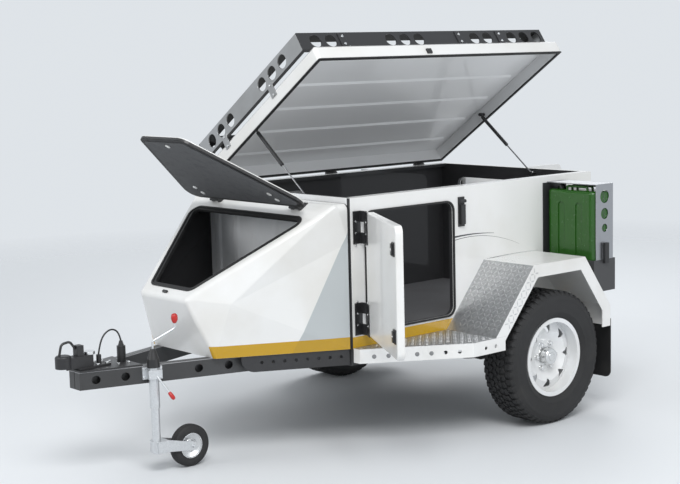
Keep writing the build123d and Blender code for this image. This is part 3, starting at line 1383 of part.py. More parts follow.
def can():
    x, y = can_middle()
    body = extrude(Pos(x, y, CAN_BOTTOM) * rounded(CAN_DEPTH, CAN_WIDTH, CAN_CORNER), amount=CAN_BODY)
    body = fillet(body.faces().sort_by(Axis.Z)[-1].edges(), CAN_CORNER / 2)
    for flute in can_flutes():
        body -= flute
    top = CAN_BOTTOM + CAN_BODY
    low, high = top - CAN_HANDLE_SINK, top + CAN_HANDLE - CAN_HANDLE_RADIUS
    for offset in (-CAN_HANDLE_PITCH, 0, CAN_HANDLE_PITCH):
        inner, outer = y - CAN_HANDLE_INNER, y + CAN_HANDLE_OUTER
        path = FilletPolyline((x + offset, inner, low), (x + offset, inner, high), (x + offset, outer, high),
                              (x + offset, outer, low), radius=CAN_HANDLE_BEND)
        body += sweep(Plane(origin=path @ 0, z_dir=path % 0) * Circle(CAN_HANDLE_RADIUS), path=path)
    foot = Vector(x, y - CAN_CAP_IN, top - CAN_CAP_RISE / 2)
    return body + bar(foot, foot + Vector(0, -CAN_CAP_LEAN, CAN_CAP_RISE), CAN_CAP_RADIUS)


def holder_gusset(low_x):
    """Outline of the side plate that stands on the slope of the fender."""
    lean = (FENDER_FLAT_REAR - FENDER_TAIL) / (FENDER_TOP - FENDER_KNEE)
    foot_x = FENDER_FLAT_REAR - (FENDER_TOP - TRAY_FOOT) * lean - HOLDER_FENDER_GAP
    brow_x = FENDER_FLAT_REAR - (FENDER_TOP - CAN_BOTTOM) * lean - HOLDER_FENDER_GAP
    top = CAN_BOTTOM - HOLDER_SHEET
    return [(low_x, TRAY_FOOT), (foot_x, TRAY_FOOT), (brow_x, top), (low_x, top)]


def can_holder():
    x, y = can_middle()
    sheet = HOLDER_SHEET
    low_x, high_x = CAN_FRONT - CAN_DEPTH - CAN_TRAY_GAP, CAN_FRONT + CAN_TRAY_GAP
    inner = y + CAN_WIDTH / 2 + CAN_PLATE_GAP
    outer = inner + sheet
    tray = block((low_x, high_x), (BODY_HALF, outer), (CAN_BOTTOM - sheet, TRAY_LIP))
    tray -= block((low_x + sheet, high_x - sheet), (BODY_HALF, inner), (CAN_BOTTOM, TRAY_LIP))
    tray += prism_y(holder_gusset(low_x), (inner, outer))
    half = HOLDER_PLATE_WIDTH / 2
    plate = block((x - half, x + half), (inner, outer), (TRAY_LIP, HOLDER_TOP))
    for z, radius in HOLDER_HOLES:
        plate -= bar((x, inner - 1, z), (x, outer + 1, z), radius)
    arm = block((x - half, x + half), (BODY_HALF, outer), (HOLDER_TOP, HOLDER_TOP + sheet))
    latch = block((x - HOLDER_LATCH_HALF, x + HOLDER_LATCH_HALF), (outer, outer + HOLDER_LATCH_DEPTH),
                  (TRAY_LIP - HOLDER_LATCH_LOW, TRAY_LIP + HOLDER_LATCH_HIGH))
    return tray + plate + arm + latch


def tail_lamp():
    outer = BODY_HALF - LAMP_INSET
    lamp = block((BODY_REAR - LAMP_DEPTH, BODY_REAR), (outer - LAMP_WIDTH, outer), (LAMP_BOTTOM, LAMP_TOP))
    return fillet(lamp.faces().sort_by(Axis.X)[0].edges(), LAMP_ROUND)


def wheel_at(shape, side):
    """A wheel piece at its own end of the axle, its outer face outwards."""
    placed = Pos(0, WHEEL_Y, TYRE_RADIUS) * shape
    return placed if side > 0 else mirrored(placed)


def all_parts():
    front, rear = strut_places()
    tyre_form, rim_form, hub_form = tyre(), rim(), hub()
    side_wall = body_side()
    door, door_metal = side_door_panel(), side_door_fittings()
    return {
        "chassis_rails": chassis_rails(),
        "crossmembers": crossmembers(),
        "drawbar_beams": drawbar_beams(),
        "drawbar_head": drawbar_head(),
        "coupling": coupling(),
        "coupling_handle": coupling_handle(),
        "plug_post": plug_post(),
        "plug_lead": plug_lead(),
        "jockey_clamp": jockey_clamp(),
        "jockey_tube": jockey_tube(),
        "jockey_boot": jockey_boot(),
        "jockey_crank": jockey_crank(),
        "jockey_grips": jockey_grips(),
        "jockey_stem": jockey_stem(),
        "jockey_fork": jockey_fork(),
        "jockey_rim": jockey_rim(),
        "jockey_tyre": jockey_tyre(),
        "nose_shell": nose_shell(),
        "nose_plates": nose_plates(),
        "body_left": side_wall,
        "body_right": mirrored(side_wall),
        "body_front": body_front(),
        "body_rear": body_rear(),
        "body_floor": body_floor(),
        "body_seals": body_seals(),
        "body_fittings": body_fittings(),
        "fenders": pair(fender()),
        "steps": pair(step()),
        "mudflaps": pair(mudflap()),
        "axle": axle(),
        "leaf_springs": pair(leaf_spring()),
        "can_holders": pair(can_holder()),
        "cans": pair(can()),
        "tail_lamps": pair(tail_lamp()),
        "tyre_left": wheel_at(tyre_form, 1),
        "rim_left": wheel_at(rim_form, 1),
        "hub_left": wheel_at(hub_form, 1),
        "tyre_right": wheel_at(tyre_form, -1),
        "rim_right": wheel_at(rim_form, -1),
        "hub_right": wheel_at(hub_form, -1),
        "door_left": left_door_turned(door),
        "door_left_fittings": left_door_turned(door_metal),
        "door_right": mirrored(door),
        "door_right_fittings": mirrored(door_metal),
        "tail_door": tail_door_turned(tail_door_panel()),
        "tail_door_fittings": tail_door_turned(tail_door_fittings()),
        "lid_shell": lid_shell(),
        "lid_seal": lid_seal(),
        "lid_fittings": lid_fittings(),
        "rack_long_rails": rack_long_rails(),
        "rack_cross_rails": rack_cross_rails(),
        "hatch_panel": hatch_panel(),
        "hatch_lining": hatch_lining(),
        "hatch_fittings": hatch_fittings(),
        "strut_tube_front": strut_tube(front),
        "strut_rod_front": strut_rod(front),
        "strut_tube_rear": strut_tube(rear),
        "strut_rod_rear": strut_rod(rear),
    }


os.makedirs("parts", exist_ok=True)
for name, shape in all_parts().items():
    export_step(shape.moved(Location((-HITCH_X, 0, -HITCH_Z))), f"parts/{name}.step")
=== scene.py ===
import bmesh
import bpy
from math import cos, pi, radians, sin
from mathutils import Matrix, Vector


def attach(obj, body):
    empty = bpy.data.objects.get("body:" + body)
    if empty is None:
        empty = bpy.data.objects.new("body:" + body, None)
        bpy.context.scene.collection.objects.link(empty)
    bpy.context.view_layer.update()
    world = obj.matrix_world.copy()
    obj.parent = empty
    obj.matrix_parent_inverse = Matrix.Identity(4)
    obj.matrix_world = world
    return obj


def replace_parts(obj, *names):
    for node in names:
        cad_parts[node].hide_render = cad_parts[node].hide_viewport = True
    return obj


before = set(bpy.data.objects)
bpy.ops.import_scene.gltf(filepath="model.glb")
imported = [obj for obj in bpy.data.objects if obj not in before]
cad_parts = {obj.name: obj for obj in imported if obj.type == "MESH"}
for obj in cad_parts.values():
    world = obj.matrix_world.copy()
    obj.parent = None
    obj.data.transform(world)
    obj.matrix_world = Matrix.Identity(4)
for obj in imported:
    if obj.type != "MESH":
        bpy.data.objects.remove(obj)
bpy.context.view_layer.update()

HITCH = Vector((2.385, 0, 0.575))
GROUND = -HITCH.z
WHEEL_Y = 825
WHEEL_Z = 351.5
SIDES = ((1, "left"), (-1, "right"))
UP = (0, 0, 1)
LEFT = (0, 1, 0)


def at(x, y, z):
    """A place in millimetres from the axle and the ground, in the frame's metres."""
    return Vector((x, y, z)) / 1000 - HITCH


def station(x):
    """A place along the trailer, in the frame's metres."""
    return at(x, 0, 0).x


def level(z):
    """A height over the ground, in the frame's metres."""
    return at(0, 0, z).z


def turned(centre, axis, angle):
    """A turn in degrees about an axis through a point."""
    turn = Matrix.Rotation(radians(angle), 4, axis)
    return Matrix.Translation(centre) @ turn @ Matrix.Translation(-centre)


SLOPE_EDGE = Vector((1189, 0, 1235))
SLOPE_UP = Vector((-639, 0, 423)).normalized()
SLOPE_OUT = Vector((423, 0, 639)).normalized()


def slope(across, up, out):
    """A place on the nose's sloping face."""
    return at(*(SLOPE_EDGE + SLOPE_UP * up + SLOPE_OUT * out + Vector((0, across, 0))))


LID_PIN = at(0, -604, 1266)
LID_OPEN = 34
LID_RAISED = turned(LID_PIN, "X", LID_OPEN)
HATCH_PIN = slope(0, -62, 14)
HATCH_OPEN = 67
HATCH_RAISED = turned(HATCH_PIN, "Y", -HATCH_OPEN)
DOOR_PIN = at(1054, 633, 0)
DOOR_OPEN = 120
DOOR_RAISED = turned(DOOR_PIN, "Z", -DOOR_OPEN)


# Finishes

class Wire:
    """A value over a surface that can be used in sums."""

    def __init__(self, paint, socket):
        self.paint = paint
        self.socket = socket

    def math(self, operation, *others):
        values = dict(enumerate((self, *others)))
        return self.paint.node("ShaderNodeMath", {"operation": operation}, values)

    def __add__(self, other):
        return self.math("ADD", other)

    def __sub__(self, other):
        return self.math("SUBTRACT", other)

    def __rsub__(self, other):
        return self * -1 + other

    def __mul__(self, other):
        return self.math("MULTIPLY", other)

    def __truediv__(self, other):
        return self.math("DIVIDE", other)

    def __abs__(self):
        return self.math("ABSOLUTE")

    def __gt__(self, other):
        return self.math("GREATER_THAN", other)

    def __lt__(self, other):
        return self.math("LESS_THAN", other)

    def fade(self, low, high):
        """0 below low, 1 above high."""
        ends = {"Value": self, "From Min": low, "From Max": high}
        return self.paint.node("ShaderNodeMapRange", {}, ends)

    __radd__ = __add__
    __rmul__ = __mul__


class Nodes:
    """A node tree that grows by one method."""

    def __init__(self, tree):
        self.tree = tree

    def node(self, kind, settings, sockets, output=0):
        made = self.tree.nodes.new(kind)
        for key, value in settings.items():
            setattr(made, key, value)
        for key, value in sockets.items():
            self.feed(made.inputs[key], value)
        return Wire(self, made.outputs[output])

    def feed(self, socket, value):
        if isinstance(value, Wire):
            self.tree.links.new(value.socket, socket)
        else:
            socket.default_value = value


class Paint(Nodes):
    """A material whose colour, roughness and relief are built up in layers."""

    def __init__(self, name, colour, rough, metal=0.0, coat=0.0, turn=None, edge=0.0018):
        self.edge = edge
        self.material = bpy.data.materials.new(name)
        self.material.use_nodes = True
        super().__init__(self.material.node_tree)
        self.shader = self.tree.nodes["Principled BSDF"]
        self.shader.inputs["Metallic"].default_value = metal
        self.shader.inputs["Coat Weight"].default_value = coat
        self.place = self.node("ShaderNodeTexCoord", {}, {}, "Object")
        if turn:
            centre, axis, angle = turn
            swing = {"Vector": self.place, "Center": centre, "Axis": axis, "Angle": angle}
            self.place = self.node("ShaderNodeVectorRotate", {"rotation_type": "AXIS_ANGLE"}, swing)
        self.x, self.y, self.z = (
            self.node("ShaderNodeSeparateXYZ", {}, {"Vector": self.place}, letter) for letter in "XYZ")
        self.colour = (*colour, 1)
        self.rough = rough
        self.height = None

    def noise(self, scale, detail=3):
        grain = {"Vector": self.place, "Scale": scale, "Detail": detail}
        return self.node("ShaderNodeTexNoise", {}, grain)

    def cells(self, scale):
        """A flat value for each of many small cells."""
        grain = {"Vector": self.place, "Scale": scale}
        return self.node("ShaderNodeTexVoronoi", {}, grain, "Color")

    def mix(self, factor, first, second, blend="MIX"):
        settings = {"data_type": "RGBA", "blend_type": blend}
        return self.node("ShaderNodeMix", settings, {0: factor, 6: first, 7: second}, 2)

    def layer(self, mask, colour, rough=None):
        """Lays a colour over the material where mask is 1."""
        self.colour = self.mix(mask, self.colour, (*colour, 1))
        if rough is not None:
            self.rough = self.rough + mask * (rough - self.rough)

    def wear(self, shade, spread, grain, relief):
        """Broad changes of tone and gloss over a fine grain."""
        broad = self.noise(2.6, 5)
        fine = self.noise(grain, 2)
        dark = tuple(part * (1 - shade) for part in (0.9, 0.88, 0.84))
        self.colour = self.mix(broad.fade(0.45, 0.8), self.colour, (*dark, 1), "MULTIPLY")
        self.rough = (broad - 0.5) * spread + (fine - 0.5) * spread + self.rough
        self.raise_by(fine * relief)

    def raise_by(self, amount):
        """Adds to the relief, in millimetres before its strength."""
        self.height = amount if self.height is None else self.height + amount

    def done(self):
        self.feed(self.shader.inputs["Base Color"], self.colour)
        self.feed(self.shader.inputs["Roughness"], self.rough)
        relief = {"Strength": 0.6, "Distance": 0.001, "Height": self.height}
        if self.edge:
            relief["Normal"] = self.node("ShaderNodeBevel", {"samples": 4}, {"Radius": self.edge})
        self.feed(self.shader.inputs["Normal"], self.node("ShaderNodeBump", {}, relief))
        return self.material


def simple(name, colour, rough, metal=0.0, coat=0.0, shade=0.15, spread=0.1, grain=500,
           relief=0.2):
    """One colour with wear and a fine grain."""
    paint = Paint(name, colour, rough, metal, coat)
    paint.wear(shade, spread, grain, relief)
    return paint.done()


# Materials

WHITE = (0.80, 0.80, 0.79)
YELLOW = (0.52, 0.30, 0.003)
DARK = (0.018, 0.018, 0.02)
JET = (0.012, 0.012, 0.013)
# Grey of the painted shadow of the open door on the nose sides
DOOR_SHADOW_GREY = (0.46, 0.49, 0.50)
STRIPE_GREY = (0.07, 0.07, 0.075)
BEAM_BLACK = (0.045, 0.046, 0.048)
BAND = (level(520), level(580))
INNER_HALF = 0.589
INNER_REAR = station(-688)
INNER_FRONT = station(1112)
RIM_TOP = level(1262)


def white_gloss(name, turn=None):
    """Gloss white over smooth panels, to be painted on or finished as it is."""
    paint = Paint(name, WHITE, 0.24, coat=0.35, turn=turn)
    paint.wear(0.03, 0.08, 260, 0.08)
    return paint


def band(paint):
    """The coloured stripe along the sill."""
    edge = 0.0006
    over_foot, over_head = (paint.z.fade(side - edge, side + edge) for side in BAND)
    return over_foot * (1 - over_head)


# Front, rear, three heights and half width of each line along the body side
STRIPES = ((-1.983, -2.278, (0.426, 0.429, 0.419), 0.0048),
           (-1.983, -2.474, (0.4095, 0.4085, 0.341), 0.0017),
           (-2.222, -2.627, (0.286, 0.292, 0.289), 0.0015))


def pin_stripe(paint, front, rear, heights, wide):
    """A line along the body side through three heights, thick at its front end."""
    first, middle, last = heights
    along = (paint.x - front) / (rear - front)
    back = 1 - along
    line = (back * (1 - along * 2) * first + along * back * (4 * middle)
            + along * (along * 2 - 1) * last)
    off = abs(paint.z - line)
    reach = (1 - along * 0.8) * wide
    return (off < reach) * (along > 0) * (back > 0)


def side_material():
    """White with the stripe along the sill and thin lines over the fender, black inside."""
    paint = white_gloss("body_side_white")
    paint.layer(band(paint), YELLOW)
    for stripe in STRIPES:
        paint.layer(pin_stripe(paint, *stripe), STRIPE_GREY)
    inner = (abs(paint.y) < INNER_HALF) * (paint.z < RIM_TOP)
    paint.layer(inner, DARK, 0.7)
    return paint.done()


def tail_material():
    """White with the stripe along the sill, black inside."""
    paint = white_gloss("body_rear_white")
    paint.layer(band(paint) * (paint.x < INNER_REAR), YELLOW)
    paint.layer((paint.x > INNER_REAR) * (paint.z < RIM_TOP), DARK, 0.7)
    return paint.done()


def bulkhead_material():
    """Grey towards the nose and black towards the box."""
    paint = Paint("bulkhead_grey", (0.84, 0.85, 0.86), 0.45)
    paint.wear(0.15, 0.1, 300, 0.15)
    paint.layer(paint.x < INNER_FRONT, DARK, 0.7)
    return paint.done()


# Painted shadow of the open door on the nose sides: its top, its rear end and the slant of its edge
DOOR_SHADOW_TOP = level(1080)
DOOR_SHADOW_REAR = station(1130)
DOOR_SHADOW_STEEPNESS = 2.25


def nose_material():
    """White with a painted shadow of the open door: a grey corner at the rear of each side, over the
    stripe along the sill, which it darkens too.
    """
    paint = white_gloss("nose_white")
    # Painted shadow of the open door: grey below a slanting line at the rear of each side
    rise = (paint.x - DOOR_SHADOW_REAR) * DOOR_SHADOW_STEEPNESS + paint.z
    edge = 0.0008
    door_shadow = 1 - rise.fade(DOOR_SHADOW_TOP - edge, DOOR_SHADOW_TOP + edge)
    paint.layer(door_shadow * (abs(paint.y) > 0.36), DOOR_SHADOW_GREY)
    stripe = band(paint) * (abs(paint.y) > 0.245)
    paint.layer(stripe, YELLOW)
    # Painted shadow of the open door where it crosses the yellow stripe: a darker yellow
    paint.layer(stripe * door_shadow, (0.46, 0.27, 0.006))
    return paint.done()


def lid_material():
    """White with a bright inside and a black rim, told apart in the shut lid's own place."""
    paint = white_gloss("lid_white", (LID_PIN, (1, 0, 0), radians(-LID_OPEN)))
    inside = (paint.z < level(1338)) * (abs(paint.y) < 0.5685)
    inside = inside * (paint.x > station(-668)) * (paint.x < station(1092))
    paint.layer(inside, (0.82, 0.825, 0.83), 0.34)
    rim = (paint.z < level(1269.6)) * (abs(paint.y) < INNER_HALF) * (paint.x < INNER_FRONT)
    paint.layer(rim * (paint.x > INNER_REAR), DARK, 0.6)
    return paint.done()


def hatch_material():
    """White outside and black under the edge, told apart in the shut hatch's own place."""
    paint = white_gloss("hatch_white", (HATCH_PIN, (0, 1, 0), radians(HATCH_OPEN)))
    rise = paint.x * SLOPE_OUT.x + paint.z * SLOPE_OUT.z
    paint.layer(rise < slope(0, 0, 18.5).dot(SLOPE_OUT), JET, 0.55)
    return paint.done()


def plate_layer(paint, mask):
    """Bare rolled aluminium where mask is 1, with scuffs."""
    scuff = paint.noise(55, 6).fade(0.45, 0.75)
    paint.layer(mask, (0.50, 0.505, 0.51), 0.42)
    paint.layer(mask * scuff, (0.36, 0.365, 0.37), 0.55)
    paint.feed(paint.shader.inputs["Metallic"], mask)


def step_material():
    """Bare plate on top of a white skirt."""
    paint = Paint("step_plate", WHITE, 0.3)
    paint.wear(0.12, 0.12, 300, 0.15)
    plate_layer(paint, paint.z > level(525.2))
    return paint.done()


def fender_material():
    """White with bare plate on the slanted front; the plate's outer flange is left white as a painted
    reflection.
    """
    paint = Paint("fender_plate", WHITE, 0.3)
    paint.wear(0.08, 0.12, 300, 0.12)
    # Painted reflection: the outer flange of the bare plate is left out of the mask and stays white
    front = (paint.x > station(186)) * (paint.z < level(860)) * (abs(paint.y) < 0.9392)
    plate_layer(paint, front)
    return paint.done()


def handle_material():
    """Black hoop with a bright locking disc behind it."""
    paint = Paint("coupling_handle_black", (0.016, 0.016, 0.017), 0.32, coat=0.2)
    paint.wear(0.2, 0.1, 500, 0.3)
    disc = paint.x < station(2272.5)
    paint.layer(disc, (0.78, 0.79, 0.80), 0.2)
    paint.feed(paint.shader.inputs["Metallic"], disc)
    return paint.done()


def beam_material():
    """Black with a painted highlight: a bright line along the upper edges."""
    paint = Paint("drawbar_black", BEAM_BLACK, 0.40, coat=0.1, edge=0.003)
    paint.wear(0.2, 0.16, 900, 0.35)
    # Painted highlight: a bright grey band just below the top face, standing in for light on the edge
    paint.layer(paint.z.fade(level(515.6), level(516.8)), (0.36, 0.36, 0.37), 0.30)
    paint.layer(paint.z > level(519.2), BEAM_BLACK, 0.4)
    return paint.done()


def galvanised():
    """Dipped zinc with its flecks of lighter and darker grey."""
    colour = (0.62, 0.635, 0.65)
    paint = Paint("galvanised", colour, 0.38, metal=0.85)
    spangle = paint.node("ShaderNodeRGBToBW", {}, {0: paint.cells(160)})
    paint.layer(spangle.fade(0.2, 0.8), tuple(part * 1.1 for part in colour))
    paint.rough = spangle * 0.08 + 0.34
    paint.raise_by(paint.noise(240, 3) * 0.08)
    return paint.done()


def rubber(name, tone, rough=0.72, grain=700):
    """Near black with a little dust."""
    paint = Paint(name, (tone, tone, tone * 1.05), rough)
    paint.wear(0.3, 0.14, grain, 0.4)
    dust = paint.noise(9, 5).fade(0.55, 0.9) * 0.5
    paint.layer(dust, (0.05, 0.047, 0.043), 0.85)
    return paint.done()


def carpet():
    """Grey pile with darker patches."""
    paint = Paint("hatch_carpet", (0.098, 0.100, 0.104), 0.95)
    pile = paint.noise(1400, 3)
    paint.layer(pile.fade(0.5, 0.75), (0.20, 0.203, 0.207))
    paint.layer(paint.noise(30, 4).fade(0.5, 0.8) * 0.4, (0.03, 0.03, 0.032))
    paint.raise_by(pile * 1.5)
    return paint.done()


def can_material():
    """Green with a seam up the middle, black cap and small scuffs."""
    paint = Paint("can_green", (0.014, 0.092, 0.004), 0.22, coat=0.25)
    paint.wear(0.2, 0.1, 200, 0.15)
    seam = abs(paint.x - station(-388.5))
    paint.layer((seam < 0.004) * (paint.z < level(1185)), (0.008, 0.05, 0.006), 0.4)
    paint.raise_by((1 - seam.fade(0.002, 0.006)) * -2)
    cap = (paint.z > level(1197)) * (abs(paint.y) < 0.70)
    paint.layer(cap, JET, 0.4)
    paint.layer(paint.noise(60, 6).fade(0.62, 0.7) * 0.5, (0.03, 0.12, 0.025), 0.45)
    return paint.done()


HOLDER_SIDE = 0.9345


def holder_material():
    """Dark grey tray, bright perforated plate and black straps."""
    paint = Paint("holder_grey", (0.05, 0.05, 0.053), 0.42)
    paint.wear(0.15, 0.12, 700, 0.3)
    plate = (paint.z > level(829)) * (abs(paint.y) < HOLDER_SIDE)
    paint.layer(plate, (0.40, 0.41, 0.43), 0.30)
    paint.feed(paint.shader.inputs["Metallic"], plate)
    paint.layer(abs(paint.y) > HOLDER_SIDE, (0.016, 0.016, 0.017), 0.4)
    return paint.done()


def lamp_material():
    """Ribbed lens, amber over red over clear."""
    paint = Paint("lamp_lens", (0.42, 0.012, 0.010), 0.16, coat=0.6)
    ribs = (paint.z * 900).math("SINE") * 0.5 + 0.5
    paint.raise_by(ribs * 0.9)
    amber = paint.z > level(915)
    paint.layer(amber, (0.60, 0.18, 0.01))
    clear = paint.z < level(840)
    paint.layer(clear, (0.55, 0.53, 0.52))
    paint.layer(paint.noise(40, 3).fade(0.5, 0.9) * 0.2, (0.2, 0.02, 0.02))
    return paint.done()


STUDIO_X = -2.0


def floor_material():
    """Pale floor that fades out into the background."""
    paint = Paint("studio_floor", (0.74, 0.76, 0.78), 0.7, edge=0)
    paint.layer(paint.noise(0.8, 4).fade(0.3, 0.8) * 0.25, (0.70, 0.72, 0.74))
    paint.raise_by(paint.noise(300, 2) * 0.1)
    off = paint.x - STUDIO_X
    far = (off * off + paint.y * paint.y).math("SQRT")
    clear = 1 - far.fade(3.2, 9.0)
    paint.feed(paint.shader.inputs["Alpha"], clear)
    return paint.done()


MATERIALS = {
    "white_side": side_material(),
    "white_tail": tail_material(),
    "bulkhead": bulkhead_material(),
    "nose": nose_material(),
    "lid": lid_material(),
    "white": white_gloss("panel_white").done(),
    "hatch": hatch_material(),
    "rack": simple("rack_satin_black", (0.016, 0.016, 0.018), 0.34, coat=0.15, grain=600, relief=0.15),
    # Painted reflection: the cross rails get a pale grey metal, lighter than the black long rails, for
    # the bright surroundings they reflect
    "rack_end_painted_reflection": simple("rack_cross_painted_reflection", (0.42, 0.425, 0.43), 0.36, metal=0.9, shade=0.3, grain=400,
                       relief=0.12),
    "handle": handle_material(),
    "bars": simple("chequer_bars", (0.66, 0.665, 0.67), 0.30, metal=1.0, shade=0.1, grain=300,
                   relief=0.1),
    "zinc": simple("zinc_bolts", (0.70, 0.71, 0.72), 0.26, metal=1.0, shade=0.1, grain=300,
                   relief=0.1),
    "bolt_grey": simple("step_bolt_grey", (0.26, 0.265, 0.27), 0.42, metal=0.6, grain=300,
                        relief=0.1),
    "lead": rubber("lead_rubber", 0.014, 0.5, 900),
    "dark": simple("dark_lining", DARK, 0.75, grain=800, relief=0.5),
    "floor_lining": simple("floor_lining", (0.10, 0.10, 0.105), 0.75, grain=900, relief=0.6),
    "black": simple("black_powder_coat", (0.026, 0.026, 0.028), 0.40, coat=0.1, shade=0.2,
                    spread=0.16, grain=900, relief=0.35),
    "beam": beam_material(),
    "cast": simple("cast_black", (0.02, 0.02, 0.022), 0.45, grain=260, relief=0.9),
    "fitting": simple("fitting_black", (0.017, 0.017, 0.018), 0.38, coat=0.1, grain=800, relief=0.3),
    "chrome": simple("bright_steel", (0.78, 0.79, 0.80), 0.16, metal=1.0, shade=0.05, grain=120,
                     relief=0.06),
    "rod": simple("rod_steel", (0.34, 0.34, 0.35), 0.18, metal=1.0, shade=0.05, grain=120,
                  relief=0.05),
    "galvanised": galvanised(),
    "step": step_material(),
    "fender": fender_material(),
    "wheel_white": simple("wheel_white", (0.79, 0.80, 0.81), 0.24, coat=0.3, shade=0.05, grain=300,
                          relief=0.08),
    "tyre": rubber("tyre_rubber", 0.017),
    "rubber": rubber("seal_rubber", 0.011, 0.6, 900),
    "wheel_grey": simple("jockey_hub", (0.66, 0.67, 0.68), 0.26, metal=0.95, shade=0.1),
    "red": simple("grip_red", (0.50, 0.014, 0.010), 0.3, coat=0.3),
    "holder": holder_material(),
    "can": can_material(),
    "carpet": carpet(),
    "lamp": lamp_material(),
}

LOOKS = {
    "white_side": "body_left body_right",
    "white_tail": "body_rear",
    "bulkhead": "body_front",
    "nose": "nose_shell",
    "lid": "lid_shell",
    "white": "door_left door_right tail_door",
    "hatch": "hatch_panel",
    "rack": "rack_long_rails",
    "rack_end_painted_reflection": "rack_cross_rails",
    "handle": "coupling_handle",
    "floor_lining": "body_floor",
    "black": "chassis_rails crossmembers drawbar_head nose_plates axle leaf_springs",
    "beam": "drawbar_beams",
    "cast": "coupling",
    "fitting": "body_fittings door_left_fittings door_right_fittings tail_door_fittings lid_fittings "
               "hatch_fittings strut_tube_front strut_tube_rear plug_post jockey_boot",
    "chrome": "hub_left hub_right",
    "rod": "strut_rod_front strut_rod_rear",
    "galvanised": "jockey_clamp jockey_tube jockey_crank jockey_stem jockey_fork",
    "step": "steps",
    "fender": "fenders",
    "wheel_white": "rim_left rim_right",
    "tyre": "tyre_left tyre_right jockey_tyre",
    "rubber": "body_seals lid_seal mudflaps plug_lead",
    "wheel_grey": "jockey_rim",
    "red": "jockey_grips",
    "holder": "can_holders",
    "can": "cans",
    "carpet": "hatch_lining",
    "lamp": "tail_lamps",
}
for look, names in LOOKS.items():
    for name in names.split():
        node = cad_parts[name]
        node.data.materials.clear()
        node.data.materials.append(MATERIALS[look])


# Pieces

def piece(name, mesh_maker, look, body, slot, *given):
    """A new piece in the frame's own place, made by mesh_maker with what it is given."""
    bm = bmesh.new()
    mesh_maker(bm, *given)
    bmesh.ops.remove_doubles(bm, verts=bm.verts, dist=1e-6)
    bmesh.ops.recalc_face_normals(bm, faces=bm.faces)
    mesh = bpy.data.meshes.new(name)
    bm.to_mesh(mesh)
    bm.free()
    mesh.materials.append(MATERIALS[look])
    made = bpy.data.objects.new(name, mesh)
    bpy.context.collection.objects.link(made)
    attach(made, body)
    return made


def smooth(made, angle=35):
    """Soft shading, with creases where faces meet at more than this angle."""
    for face in made.data.polygons:
        face.use_smooth = True
    made.data.set_sharp_from_angle(angle=radians(angle))
    return made


def lathe(bm, outline, centre, steps):
    """Turns a closed outline of (radius, along) in millimetres about the y axis."""
    verts = [bm.verts.new(centre + Vector((r, y, 0)) / 1000) for r, y in outline]
    edges = [bm.edges.new((a, b)) for a, b in zip(verts, verts[1:] + verts[:1])]
    bmesh.ops.spin(bm, geom=verts + edges, cent=centre, axis=LEFT, angle=2 * pi, steps=steps,
                   use_merge=True)


def both_halves(half):
    """A closed outline from the half of it that lies to the left."""
    return half + [(r, -y) for r, y in reversed(half)]


def thick_ring(bm, width, rise):
    """Turns the one face of a mesh into a ring of this width and thickness."""
    bm.normal_update()
    face = max(bm.faces, key=bmesh.types.BMFace.calc_area)
    bmesh.ops.inset_region(bm, faces=[face], thickness=width / 1000, use_even_offset=True,
                           use_boundary=True)
    bmesh.ops.delete(bm, geom=[face], context="FACES")
    made = bmesh.ops.extrude_face_region(bm, geom=list(bm.faces), use_keep_orig=True)["geom"]
    verts = [part for part in made if isinstance(part, bmesh.types.BMVert)]
    bmesh.ops.translate(bm, verts=verts, vec=rise / 1000)


# Road wheels

TREAD_COUNT = 54
TREAD_BEVEL = 0.0016


def tread_row(bm, centre, size, place, lean, start):
    """A ring of bevelled blocks: size along, across, deep; place is (radius, across)."""
    made = bmesh.ops.create_cube(bm, size=1)["verts"]
    along, across, deep = size
    scale = Matrix.Diagonal((deep / 1000, across / 1000, along / 1000, 1))
    bmesh.ops.transform(bm, matrix=scale, verts=made)
    edges = list({edge for vert in made for edge in vert.link_edges})
    cut = bmesh.ops.bevel(bm, geom=edges, offset=TREAD_BEVEL, affect="EDGES", segments=1,
                          profile=0.5, material=-1)
    faces = {face for vert in cut["verts"] for face in vert.link_faces}
    verts = list({vert for face in faces for vert in face.verts})
    skew = Matrix.Rotation(radians(lean[0]), 4, "X") @ Matrix.Rotation(radians(lean[1]), 4, "Z")
    out = Matrix.Translation((place[0] / 1000, place[1] / 1000, 0))
    move = Matrix.Translation(centre) @ Matrix.Rotation(start, 4, "Y") @ out @ skew
    bmesh.ops.transform(bm, matrix=move, verts=verts)
    geom = verts + list({edge for vert in verts for edge in vert.link_edges}) + list(faces)
    others = TREAD_COUNT - 1
    bmesh.ops.spin(bm, geom=geom, cent=centre, axis=LEFT, angle=2 * pi * others / TREAD_COUNT,
                   steps=others, use_duplicate=True)


TYRE_HALF = [(342, 30), (342, 84), (338, 93), (331, 99.5), (322, 104.0), (311, 106.6), (307, 107.8),
             (303, 106.8), (285, 107.4), (262, 106.8), (243, 104.0), (239, 104.8), (235, 102.4),
             (221, 95.5), (211, 86.5), (206, 82.6), (192, 82.6)]


def road_tyre(bm, side):
    """A tyre with four rows of tread blocks on each half, in turn round it."""
    centre = at(0, side * WHEEL_Y, WHEEL_Z)
    lathe(bm, both_halves(TYRE_HALF), centre, 112)
    step = 2 * pi / TREAD_COUNT
    for hand in (-1, 1):
        rows = (((27, 26, 11), (345.4, hand * 72), (hand * 6, 0), 0),
                ((24, 24, 9), (336.5, hand * 92), (hand * 6, hand * 52), 0.02),
                ((29, 23, 11), (345.4, hand * 42), (hand * 24, 0), 0.5),
                ((27, 20, 11), (345.4, hand * 14), (hand * -28, 0), 0.25 * (1 + hand)))
        for size, place, lean, start in rows:
            tread_row(bm, centre, size, place, lean, step * start)


for side, name in SIDES:
    tyre = piece("road_tyre_" + name, road_tyre, "tyre", name + "_wheel", "tyre_rubber", side)
    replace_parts(smooth(tyre), "tyre_" + name)


# Lead of the parked plug

LEAD_ROUTE = ((2195, 0, 581), (2187, 0, 624), (2163, 0, 672), (2118, 0, 694), (2078, 0, 670),
              (2070, 0, 629))


